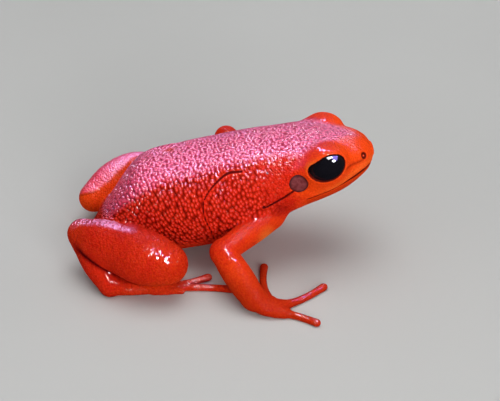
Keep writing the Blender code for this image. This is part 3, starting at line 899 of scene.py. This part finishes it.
def shade_lines_and_flecks(s):
    """Distance to the nearest thin dark line or fleck, over its width: the lines are painted shade
    in creases, folds, mouth, nostrils and round the eyes.
    """
    rim = np.where((s.ball < 0.4) & (s.out > EYE_AT[1]), np.maximum(s.opening, 0.0) / 0.07, FAR)
    mouth_width = 0.09 + 0.05 * ease(s.along, 19.0, 20.5)
    lines = [
        np.abs(s.level) / mouth_width + FAR * (1 - s.jaw),
        line_distance(s.along, s.up, EAR_FOLD) / 0.1 + FAR * (1 - s.on_side),
        s.crease / 0.07 + FAR * (1 - s.on_side),
        np.abs(s.nostril - 0.2) / 0.09,
        rim,
    ]
    for gap, share in s.folds:
        lines.append(gap / 0.08 + FAR * (1 - share))
    body = np.stack([s.along, s.across, s.up], axis=1)
    for fleck, radius in SPECKS:
        lines.append(gap_to(body, fleck) / radius)
    elsewhere = 1 - np.maximum(s.trunk, s.leg)
    return np.minimum(np.min(lines, axis=0) + 2 * FAR * elsewhere, FAR)


def granule_shares(s, rose):
    """Strengths of the large granules, on the trunk, and of the small ones.

    The large ones fade to the face, neck and belly, under the painted rosy sheen and at
    the middle of the belly, where the flat coordinates of their rows meet.
    """
    head = ease(s.along, *HEAD) * s.trunk
    neck = ease(s.along, *NECK)
    grain = s.trunk * (1 - 0.95 * s.face) * (1 - 0.75 * neck) * (1 - 0.6 * s.belly)
    grain = grain * (1 - bell(s.across, 0.4) * (s.up < 0)) + 0.12 * s.leg
    on_back = np.clip(rose, 0.0, 1.0) * s.trunk * (1 - s.rear)
    grain = grain * (1 - 0.85 * on_back) * (1 - 0.8 * s.far)
    small = 0.8 * np.maximum(head, 0.7 * neck * s.trunk)
    small = small * (1 - s.face) * (1 - 0.6 * s.crown) + 0.35 * s.face
    return grain, small + 0.3 * s.arm + 0.55 * s.leg


def gloss_share(s, rose):
    """Strength of the wet coat: most on the back, some on the limbs and digits."""
    start = -1.1 - 0.9 * s.rear - 0.5 * ease(s.along, 10.0, 12.0)
    wet = (0.06 + 0.94 * ease(s.over_back, start, -0.2)) * (1 - 0.8 * s.socket)
    drier = 1 - 0.6 * np.clip(rose, 0.0, 1.0) * (1 - s.rear)
    gloss = 0.85 * wet * s.trunk * (1 - 0.75 * s.face) * drier
    y, z = s.points[:, 1], s.points[:, 2]
    gloss = gloss + s.arm * (0.01 + 0.06 * ease(z, 2.8, 3.8)) + 0.85 * s.band
    gloss = gloss + s.leg * np.where(y < 0, 0.03, 0.05 + 0.2 * s.upper)
    for side in SIDES:
        for joint, limb in (("knuckles", s.arm), ("instep", s.leg)):
            away = gap_to(s.points, JOINTS[side][joint])
            reach = ease(away, 1.0, 1.6) * (1 - ease(away, 5.5, 6.5))
            gloss = gloss + 0.9 * limb * reach * (1 - ease(z, 0.6, 0.9))
    return np.maximum(gloss, 0.9 * bell(s.nostril, 0.12))


def skin_marks(points):
    """Values on the skin's points, for the colours and the granules.

    Shares from 0 to 1: grain and small are the strengths of the large and small
    granules, streak that of the long ones on the back, gloss the wet coat's and
    drops the wet spots'. orange and pale are shares of colour, rose is the share
    of painted rosy sheen, with a painted highlight in the nostrils, and dark is
    painted soft shade. line is the distance to a thin dark line over its width,
    mostly painted shade in creases and folds. along and around are flat
    coordinates in metres: the place along the body, and the angle round it times
    a radius.
    """
    s = Skin(points)
    rose = painted_sheen_share(s)
    grain, small = granule_shares(s, rose)
    smooth = 1 - bell(s.crease, 0.16) * s.on_side
    drops = np.max([bell(gap_to(points, spot), reach) for spot, reach in WET_SPOTS], axis=0)
    # Painted rosy sheen, less in the eye sockets, and a painted highlight in the nostrils
    painted_sheen_and_glint = np.maximum(rose * (1 - 0.9 * s.socket), 0.7 * bell(s.nostril, 0.09))
    marks = {
        "grain": grain * smooth,
        "small": small * (1 - drops),
        "gloss": gloss_share(s, rose) * smooth,
        "orange": orange_share(s),
        "pale": pale_share(s),
        "dark": painted_shade_share(s),
        "rose": painted_sheen_and_glint,
        "streak": painted_sheen_and_glint * s.trunk * (1 - 0.6 * s.rear) + 0.6 * s.band,
        "drops": drops,
    }
    marks = {name: np.clip(values, 0.0, 1.0) for name, values in marks.items()}
    marks["line"] = shade_lines_and_flecks(s)
    marks["along"] = s.along * MM
    marks["around"] = np.arctan2(s.across, s.up) * SKIN_RADIUS * MM
    return marks


def grid_axis(lengths, cell):
    """Places along one axis, from lengths of even steps set end to end."""
    parts = []
    for low, high, share in lengths:
        count = max(2, int(round((high - low) / (cell * share))))
        parts.append(np.linspace(low, high, count, endpoint=False))
    return np.concatenate([*parts, [high]])


def turned(points):
    """From the frog's millimetres to the row's metres."""
    return (points - np.array((*CENTRE, 0.0))) * MM


def add_object(name, data):
    """Put a new object with its mesh, light or camera into the scene."""
    item = bpy.data.objects.new(name, data)
    bpy.context.scene.collection.objects.link(item)
    return item


def make_piece(name, points, faces, material):
    """Make a smooth mesh object from points in millimetres, riding on the CAD body."""
    mesh = bpy.data.meshes.new(name)
    mesh.from_pydata(turned(points).tolist(), [], faces)
    mesh.polygons.foreach_set("use_smooth", np.ones(len(faces), bool))
    mesh.materials.append(material)
    mesh.update()
    piece = add_object(name, mesh)
    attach(piece, "root")
    return piece


def mark(piece, name, values):
    """Keep one value for each point of the piece, for its material."""
    kept = piece.data.attributes.new(name, "FLOAT", "POINT")
    kept.data.foreach_set("value", np.asarray(values, np.float32))


def turned_surface(profile, place, around, side):
    """Closed surface of a profile turned once round a line across the head.

    The profile runs from pole to pole as pairs of radius and depth, place gives
    the point for a radius, angle and depth, and the poles close as fans. On the
    right side the faces are turned over, so that they look outward there too.
    """
    angle = np.arange(around) * (2 * math.pi / around)
    inner = profile[1:-1]
    radius = np.repeat(inner[:, 0], around)
    depth = np.repeat(inner[:, 1], around)
    rings = place(radius, np.tile(angle, len(inner)), depth)
    poles = place(profile[[0, -1], 0], np.zeros(2), profile[[0, -1], 1])
    points = np.vstack([rings, poles])
    index = np.arange(len(inner) * around).reshape(len(inner), around)
    following = np.roll(index, -1, axis=1)
    quads = [index[:-1], following[:-1], following[1:], index[1:]]
    quads = np.stack(quads, axis=-1).reshape(-1, 4)
    first, last = len(rings), len(rings) + 1
    start = [(first, b, a) for a, b in zip(index[0], following[0])]
    stop = [(last, a, b) for a, b in zip(index[-1], following[-1])]
    faces = quads.tolist() + start + stop
    return points, [face[::-1] for face in faces] if side < 0 else faces


def linear(color):
    """Linear light of a colour given in 0 to 255 screen values."""
    c = np.array(color) / 255
    low = c / 12.92
    high = ((c + 0.055) / 1.055) ** 2.4
    return (*np.where(c < 0.04045, low, high), 1.0)


def opaque(color):
    """A setting's colour with the fourth value that a node takes."""
    return (*color, 1.0)


class Tree:
    """A material's nodes, added one by one."""

    def __init__(self, name):
        self.material = bpy.data.materials.new(name)
        self.material.use_nodes = True
        self.nodes = self.material.node_tree.nodes
        self.links = self.material.node_tree.links
        self.shader = self.nodes["Principled BSDF"]
        self.place = self.add("ShaderNodeTexCoord").outputs["Object"]

    def fill(self, socket, value):
        """Link another node's output to a socket, or set its own value."""
        if isinstance(value, bpy.types.NodeSocket):
            self.links.new(value, socket)
        else:
            socket.default_value = value

    def add(self, kind, inputs=(), **settings):
        """Add a node, set its choices and fill its inputs."""
        node = self.nodes.new(kind)
        for key, value in settings.items():
            setattr(node, key, value)
        for key, value in dict(inputs).items():
            self.fill(node.inputs[key], value)
        return node

    def finish(self, **inputs):
        """Fill the shader's inputs and give the material."""
        for key, value in inputs.items():
            self.fill(self.shader.inputs[key.replace("_", " ")], value)
        return self.material

    def noise(self, size, detail, rough=0.5):
        """Noise with lumps of a size in millimetres."""
        inputs = {"Vector": self.place, "Scale": 1 / (size * MM), "Detail": detail}
        inputs["Roughness"] = rough
        return self.add("ShaderNodeTexNoise", inputs).outputs["Fac"]

    def cells(self, size, place=None, loose=0.8, dimensions="3D"):
        """Distance within cells of a size in millimetres, 0 at their middles."""
        inputs = {"Vector": place or self.place, "Scale": 1 / (size * MM), "Randomness": loose}
        node = self.add("ShaderNodeTexVoronoi", inputs, voronoi_dimensions=dimensions)
        return node.outputs["Distance"]

    def mark(self, name):
        """Value kept on the piece's points."""
        return self.add("ShaderNodeAttribute", attribute_name=name).outputs["Fac"]

    def ramp(self, value, low, high, start=0.0, stop=1.0):
        """Smooth step of a value from low to high, turned to start and stop."""
        inputs = {"Value": value, "From Min": low, "From Max": high}
        inputs.update({"To Min": start, "To Max": stop})
        node = self.add("ShaderNodeMapRange", inputs, interpolation_type="SMOOTHSTEP")
        return node.outputs["Result"]

    def maths(self, operation, a, b, clamp=False):
        """Sum, difference, product or larger one of two values."""
        node = self.add("ShaderNodeMath", {0: a, 1: b}, operation=operation, use_clamp=clamp)
        return node.outputs["Value"]

    def times(self, a, b):
        """Product of two values."""
        return self.maths("MULTIPLY", a, b)

    def larger(self, a, b):
        """Larger of two values."""
        return self.maths("MAXIMUM", a, b)

    def mix(self, share, a, b):
        """Colour a turned toward colour b by a share."""
        return self.add("ShaderNodeMix", {0: share, 6: a, 7: b}, data_type="RGBA").outputs[2]

    def vectors(self, operation, inputs):
        """Sum, difference or multiple of coordinates."""
        return self.add("ShaderNodeVectorMath", inputs, operation=operation).outputs["Vector"]

    def shifted(self, size, amount):
        """Coordinates moved about by noise, both in millimetres."""
        inputs = {"Vector": self.place, "Scale": 1 / (size * MM), "Detail": 1.0}
        color = self.add("ShaderNodeTexNoise", inputs).outputs["Color"]
        middle = self.vectors("SUBTRACT", {0: color, 1: (0.5, 0.5, 0.5)})
        small = self.vectors("SCALE", {0: middle, "Scale": 2 * amount * MM})
        return self.vectors("ADD", {0: self.place, 1: small})

    def sheet(self, turn, share):
        """Flat coordinates on the trunk's skin, turned by an angle and drawn out."""
        inputs = {"X": self.mark("along"), "Y": self.mark("around")}
        flat = self.add("ShaderNodeCombineXYZ", inputs).outputs["Vector"]
        inputs = {"Vector": flat, "Rotation": (0.0, 0.0, turn), "Scale": (share, 1.0, 1.0)}
        return self.add("ShaderNodeMapping", inputs, vector_type="TEXTURE").outputs["Vector"]

    def bump(self, height, depth, strength=1.0, normal=None):
        """Surface raised by a height times a depth in millimetres."""
        inputs = {"Height": height, "Distance": depth * MM, "Strength": strength}
        if normal is not None:
            inputs["Normal"] = normal
        return self.add("ShaderNodeBump", inputs).outputs["Normal"]

    def sunk(self, distance, share, depth, normal=None):
        """Surface sunk between granules, by their distance squared times a share."""
        hollow = self.times(self.times(distance, distance), share)
        return self.bump(self.maths("SUBTRACT", 0.0, hollow), depth, 1.0, normal)


def skin_material(settings):
    """Wet granular skin, red on the body and orange on the face and the arms.

    The colour goes from red to the painted rosy sheen, orange and pale by the shares
    on the points, then to painted highlights on the tops of the granules, painted
    shade in the grooves between them, painted soft shade and thin lines, mostly
    painted shade in creases and folds. The coat is wet in patches, and in drops on the wet spots.
    """
    t = Tree("mantella_skin")
    place = t.shifted(*SHIFT)
    grain = t.mark("grain")
    small = t.mark("small")
    rose = t.mark("rose")
    streak = t.mark("streak")
    drops = t.mark("drops")
    # Distances within the beads in rows, the small granules and the long beads
    gap = t.cells(BEAD_SIZE, t.sheet(*BEAD_ROWS), 0.75, "2D")
    fine = t.cells(SMALL_SIZE, place)
    long = t.cells(LONG_SIZE, t.sheet(*LONG_ROWS), 0.8, "2D")
    patch = t.noise(PATCH_SIZE, 3.0)
    # Colours of the smooth skin
    wide = t.ramp(t.noise(WIDE_SIZE, 3.0), 0.3, 0.7, -0.09, 0.09)
    mottle = t.ramp(t.noise(MOTTLE_SIZE, 2.0), 0.35, 0.65, -0.16, 0.18)
    orange = t.maths("ADD", t.maths("ADD", t.mark("orange"), wide), mottle)
    red = t.mix(t.ramp(patch, 0.3, 0.7), opaque(settings.red), opaque(settings.red_light))
    # Painted rosy sheen over the red
    color = t.mix(rose, red, opaque(settings.rose))
    color = t.mix(t.ramp(orange, 0.0, 1.0), color, opaque(settings.orange))
    color = t.mix(t.mark("pale"), color, linear(PALE_ORANGE))
    # Painted highlights on the tops of the granules and painted shade in the grooves between them
    groove_shade = t.times(t.ramp(gap, 0.3, 0.64, 0.0, 0.52), grain)
    groove_shade = t.larger(groove_shade, t.times(t.ramp(fine, 0.3, 0.7, 0.0, 0.4), small))
    groove_shade = t.larger(groove_shade, t.times(t.ramp(long, 0.3, 0.62, 0.0, 0.6), streak))
    # Painted highlights on the tops of the granules
    tops = t.times(t.ramp(gap, 0.05, 0.28, 0.45, 0.0), grain)
    tops = t.larger(tops, t.times(t.ramp(fine, 0.05, 0.35, 0.4, 0.0), small))
    color = t.mix(tops, color, linear(PAINTED_BEAD_HIGHLIGHT))
    # Painted shade in the grooves between granules
    color = t.mix(groove_shade, color, t.mix(rose, linear(PAINTED_SHADE_RED), linear(PAINTED_GROOVE_SHADE_PINK)))
    # Painted soft shade
    color = t.mix(t.mark("dark"), color, linear(PAINTED_SHADE_RED))
    # Thin dark lines of painted shade in creases, folds, mouth, nostrils and round the eyes, and
    # dark flecks
    color = t.mix(t.ramp(t.mark("line"), 0.5, 1.25, 0.92, 0.0), color, linear(CREASE_SHADE_AND_FLECK_RED))
    # Relief of the granules and of the wet spots
    normal = t.sunk(fine, small, SMALL_DEPTH)
    normal = t.sunk(gap, grain, BEAD_DEPTH, normal)
    normal = t.sunk(long, streak, LONG_DEPTH, normal)
    normal = t.bump(drops, DROP_DEPTH, 1.0, normal)
    # Wet coat: patchy where the skin is red, whole under the painted rosy sheen, dots in the drops
    raised = t.maths("SUBTRACT", 1.0, groove_shade, clamp=True)
    sparse = t.larger(t.ramp(t.noise(SHINE_SIZE, 1.0), 0.48, 0.54, 0.04, 1.0), rose)
    spread = t.maths("SUBTRACT", t.cells(DROP_SIZE, place), t.times(drops, 0.34))
    dots = t.times(t.ramp(spread, 0.14, 0.22, 1.0, 0.0), t.ramp(drops, 0.1, 0.4))
    coat = t.larger(t.times(t.mark("gloss"), sparse), dots)
    shine = t.times(t.ramp(rose, 0.0, 1.0, 0.01, 0.5), raised)
    smoother = t.ramp(rose, 0.0, 1.0, 0.0, 0.2)
    rough = t.maths("SUBTRACT", t.ramp(patch, 0.35, 0.7, 0.5, 0.6), smoother)
    return t.finish(
        Base_Color=color,
        Roughness=rough,
        IOR=1.33,
        Specular_IOR_Level=shine,
        Normal=normal,
        Coat_Weight=t.times(coat, raised),
        Coat_Roughness=0.05,
        Coat_Normal=normal,
        Subsurface_Weight=0.06,
        Subsurface_Radius=(0.4 * MM, 0.1 * MM, 0.05 * MM),
        Subsurface_Scale=1.0,
    )


def eye_material():
    """Black wet eye with a faint brown iris round the wide pupil."""
    t = Tree("mantella_eye")
    flecks = t.noise(FLECK_SIZE, 4.0, 0.7)
    iris = t.times(t.ramp(t.mark("off_pupil"), 0.62, 0.8), t.ramp(flecks, 0.4, 0.75))
    return t.finish(
        Base_Color=t.mix(iris, linear(EYE_BLACK), linear(IRIS_BROWN)),
        Roughness=0.06,
        IOR=1.35,
        Coat_Weight=0.3,
        Coat_Roughness=0.02,
        Normal=t.bump(flecks, FLECK_DEPTH, 0.3),
    )


def eardrum_material():
    """Thin dark skin of the eardrum, mottled brown and purple, with a darker rim."""
    t = Tree("mantella_eardrum")
    mottle = t.ramp(t.noise(DRUM_MOTTLE_SIZE, 4.0, 0.6), 0.35, 0.65)
    color = t.mix(mottle, linear(DRUM_DARK), linear(DRUM_LIGHT))
    return t.finish(
        Base_Color=t.mix(t.ramp(t.mark("off_middle"), 0.6, 0.95), color, linear(DRUM_RIM)),
        Roughness=0.42,
        IOR=1.4,
        Normal=t.bump(t.cells(DRUM_CELL_SIZE), DRUM_CELL_DEPTH, 0.7),
        Coat_Weight=0.25,
        Coat_Roughness=0.25,
    )


def floor_material():
    """Plain pale studio floor with a very faint unevenness."""
    t = Tree("studio_floor")
    tone = t.ramp(t.noise(FLOOR_NOISE_SIZE, 2.0), 0.3, 0.7)
    color = t.mix(tone, linear(FLOOR_DARK), linear(FLOOR_LIGHT))
    return t.finish(Base_Color=color, Roughness=0.75, Specular_IOR_Level=0.0)


def make_skin(cell, material):
    """One closed skin over the whole frog, with its marks on the points."""
    axes = [grid_axis(lengths, cell) for lengths in GRID]
    grid = np.stack(np.meshgrid(*axes, indexing="ij"), axis=-1).reshape(-1, 3)
    values = frog_distance(grid).reshape([len(axis) for axis in axes])
    points, faces = surface_net(values, axes)
    points = relaxed(points, faces, 2)
    skin = make_piece("skin", points, faces.tolist(), material)
    for name, values in skin_marks(points).items():
        mark(skin, name, values)
    cad = [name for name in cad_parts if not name.startswith(("eye_", "eardrum_"))]
    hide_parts(*sorted(cad))
    return skin


def make_eye(side, name, material):
    """Eyeball: an ellipsoid turned round the line across the head."""
    turn = np.linspace(0, math.pi, 41)
    profile = np.column_stack([np.sin(turn), np.cos(turn)])

    def place(radius, angle, depth):
        along = EYE_AT[0] + EYE_RADII[0] * radius * np.cos(angle)
        up = EYE_AT[2] + EYE_RADII[2] * radius * np.sin(angle)
        return from_body(along, side * (EYE_AT[1] + EYE_RADII[1] * depth), up)

    points, faces = turned_surface(profile, place, 72, side)
    eye = make_piece("eye_ball_" + name, points, faces, material)
    along, _, up = to_body(points)
    off_along = (along - EYE_AT[0] - PUPIL_AT[0]) / PUPIL_RADII[0]
    off_up = (up - EYE_AT[2] - PUPIL_AT[1]) / PUPIL_RADII[1]
    mark(eye, "off_pupil", np.hypot(off_along, off_up))
    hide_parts("eye_" + name)


def make_eardrum(side, name, material):
    """Eardrum: a thin round disc that follows the side of the head."""

    def place(radius, angle, depth):
        along = EAR_AT[0] + radius * np.cos(angle)
        up = EAR_AT[1] + radius * np.sin(angle)
        return from_body(along, side * (skin_side(along, up) + depth), up)

    points, faces = turned_surface(np.array(EAR_PROFILE), place, 64, side)
    drum = make_piece("ear_drum_" + name, points, faces, material)
    along, _, up = to_body(points)
    mark(drum, "off_middle", np.hypot(along - EAR_AT[0], up - EAR_AT[1]) / EAR_RADIUS)
    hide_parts("eardrum_" + name)


def aimed(place, target):
    """Turn that points an object's own -Z from its place to a target."""
    way = Vector(target) - Vector(place)
    return way.to_track_quat("-Z", "Y").to_euler()


def add_light(name, place, size, power, color):
    """Add a soft light, in metres and watts, aimed at the middle of the frog."""
    data = bpy.data.lights.new(name, "AREA")
    data.shape = "RECTANGLE"
    data.size, data.size_y = size
    data.energy = power
    data.color = color
    light = add_object(name, data)
    light.location = place
    light.rotation_euler = aimed(place, LIGHT_TARGET)
    light.visible_camera = False
    return light


def make_floor(size):
    """Flat square floor at height 0."""
    half = size / 2
    corners = [(-half, -half, 0), (half, -half, 0), (half, half, 0), (-half, half, 0)]
    mesh = bpy.data.meshes.new("floor")
    mesh.from_pydata(corners, [], [(0, 1, 2, 3)])
    mesh.materials.append(floor_material())
    floor = add_object("floor", mesh)
    floor.visible_glossy = False


def make_lights(settings):
    """Add the lights: some light without reflections, and some only by them.

    The spark shines on the skin alone.
    """
    for name, (place, size, color, reflects) in LIGHTS.items():
        power = getattr(settings, name + "_power")
        light = add_light(name, place, size, power, color)
        light.visible_glossy = reflects
        light.visible_diffuse = not reflects
    bpy.data.lights["sheen"].color = settings.sheen_color
    wet = bpy.data.collections.new("wet_skin")
    wet.objects.link(bpy.data.objects["skin"])
    bpy.data.objects["spark"].light_linking.receiver_collection = wet


def make_surroundings(scene):
    """Even pale light from all round, which doesn't show in reflections."""
    world = bpy.data.worlds.new("studio")
    scene.world = world
    world.cycles_visibility.glossy = False
    world.use_nodes = True
    background = world.node_tree.nodes["Background"]
    background.inputs["Color"].default_value = WORLD_COLOR
    background.inputs["Strength"].default_value = WORLD_STRENGTH


def make_camera(scene):
    """Camera at the photo's angle: on the frog's right, looking down a little."""
    target = turned(np.array(CAMERA_TARGET))
    back = np.array((0.0, -math.cos(CAMERA_HEIGHT), math.sin(CAMERA_HEIGHT)))
    data = bpy.data.cameras.new("camera")
    data.lens = CAMERA_LENS
    data.sensor_width = 36.0
    data.clip_start = 0.005
    data.clip_end = 10.0
    camera = add_object("camera", data)
    camera.location = target + back * CAMERA_DISTANCE * MM
    camera.rotation_euler = aimed(camera.location, target)
    scene.camera = camera


def power_setting(name, words, value):
    """Setting for the power of a light, in watts."""
    return FloatProperty(
        name=name, description=words, default=value, min=0.0, max=20.0, unit="POWER"
    )


def color_setting(name, words, value):
    """Setting for a colour, in linear light."""
    return FloatVectorProperty(
        name=name, description=words, default=value, subtype="COLOR", min=0.0, max=1.0
    )


class MantellaSettings(bpy.types.PropertyGroup):
    """Sizes, colours and lights that the buttons use."""

    cell: FloatProperty(
        name="Skin cell",
        description="Size of the skin's mesh away from the head, in millimetres",
        default=0.14,
        min=0.05,
        max=0.6,
    )
    red: color_setting("Red", "Colour of the flanks and legs", linear(RED)[:3])
    red_light: color_setting("Light red", "Colour of their lighter patches", linear(RED_LIGHT)[:3])
    # Colour of the painted rosy sheen on the back and the tops of the legs
    rose: color_setting("Rose", "Colour of the back and the tops of the legs", linear(PAINTED_SHEEN_PINK)[:3])
    orange: color_setting("Orange", "Colour of the face, arms, knees and heels", linear(ORANGE)[:3])
    floor_size: FloatProperty(
        name="Floor",
        description="Side of the square floor",
        default=1.6,
        min=0.1,
        max=5.0,
        unit="LENGTH",
    )
    overhead_power: power_setting("Overhead light", "Wide light above", 1.35)
    key_power: power_setting("Key light", "Low light in front of the frog's right side", 0.8)
    strip_power: power_setting("Strip light", "Light above that only makes wet highlights", 2.0)
    sky_power: power_setting("Sky light", "Blue light above the head that only reflects", 1.0)
    glint_power: power_setting("Glint light", "Small light at the right that only reflects", 1.1)
    sheen_power: power_setting("Sheen light", "Wide light behind, a sheen on the back", 6.0)
    spark_power: power_setting("Spark light", "Small light that glints on the wet spots", 2.0)
    sheen_color: color_setting("Sheen colour", "Colour of the wide light behind", (0.62, 0.5, 1.0))


class MANTELLA_OT_skin(bpy.types.Operator):
    """Make the frog's skin"""

    bl_idname = "mantella.skin"
    bl_label = "Skin"

    def execute(self, context):
        settings = context.scene.mantella
        cell = settings.cell * 1.0
        skin = make_skin(cell, skin_material(settings))
        if not skin.data.polygons:
            raise RuntimeError("the skin has no faces")
        return {"FINISHED"}


class MANTELLA_OT_eyes(bpy.types.Operator):
    """Make both eyeballs"""

    bl_idname = "mantella.eyes"
    bl_label = "Eyes"

    def execute(self, context):
        for side, name in zip(SIDES, ("right", "left")):
            make_eye(side, name, eye_material())
        return {"FINISHED"}


class MANTELLA_OT_eardrums(bpy.types.Operator):
    """Make both eardrums"""

    bl_idname = "mantella.eardrums"
    bl_label = "Eardrums"

    def execute(self, context):
        for side, name in zip(SIDES, ("right", "left")):
            make_eardrum(side, name, eardrum_material())
        return {"FINISHED"}


class MANTELLA_OT_stage(bpy.types.Operator):
    """Make the floor, lights, surroundings and camera"""

    bl_idname = "mantella.stage"
    bl_label = "Stage"

    def execute(self, context):
        scene = context.scene
        make_floor(scene.mantella.floor_size)
        make_lights(scene.mantella)
        make_surroundings(scene)
        scene.view_settings.view_transform = "Standard"
        make_camera(scene)
        return {"FINISHED"}


class MANTELLA_PT_panel(bpy.types.Panel):
    """Settings and buttons that make the frog and its stage"""

    bl_label = "Black-eared mantella"
    bl_idname = "MANTELLA_PT_panel"
    bl_space_type = "VIEW_3D"
    bl_region_type = "UI"
    bl_category = "Mantella"

    def draw(self, context):
        settings = context.scene.mantella
        for name in MantellaSettings.__annotations__:
            self.layout.prop(settings, name)
        for operator in ("skin", "eyes", "eardrums", "stage"):
            self.layout.operator("mantella." + operator)


CLASSES = (
    MantellaSettings,
    MANTELLA_OT_skin,
    MANTELLA_OT_eyes,
    MANTELLA_OT_eardrums,
    MANTELLA_OT_stage,
    MANTELLA_PT_panel,
)


def register():
    """Make the settings, operators and panel known."""
    for item in CLASSES:
        bpy.utils.register_class(item)
    bpy.types.Scene.mantella = PointerProperty(type=MantellaSettings)


def unregister():
    """Take them away again."""
    del bpy.types.Scene.mantella
    for item in reversed(CLASSES):
        bpy.utils.unregister_class(item)


def main():
    """Make every piece and the stage."""
    register()
    bpy.ops.mantella.skin()
    bpy.ops.mantella.eyes()
    bpy.ops.mantella.eardrums()
    bpy.ops.mantella.stage()


if __name__ == "__main__":
    main()
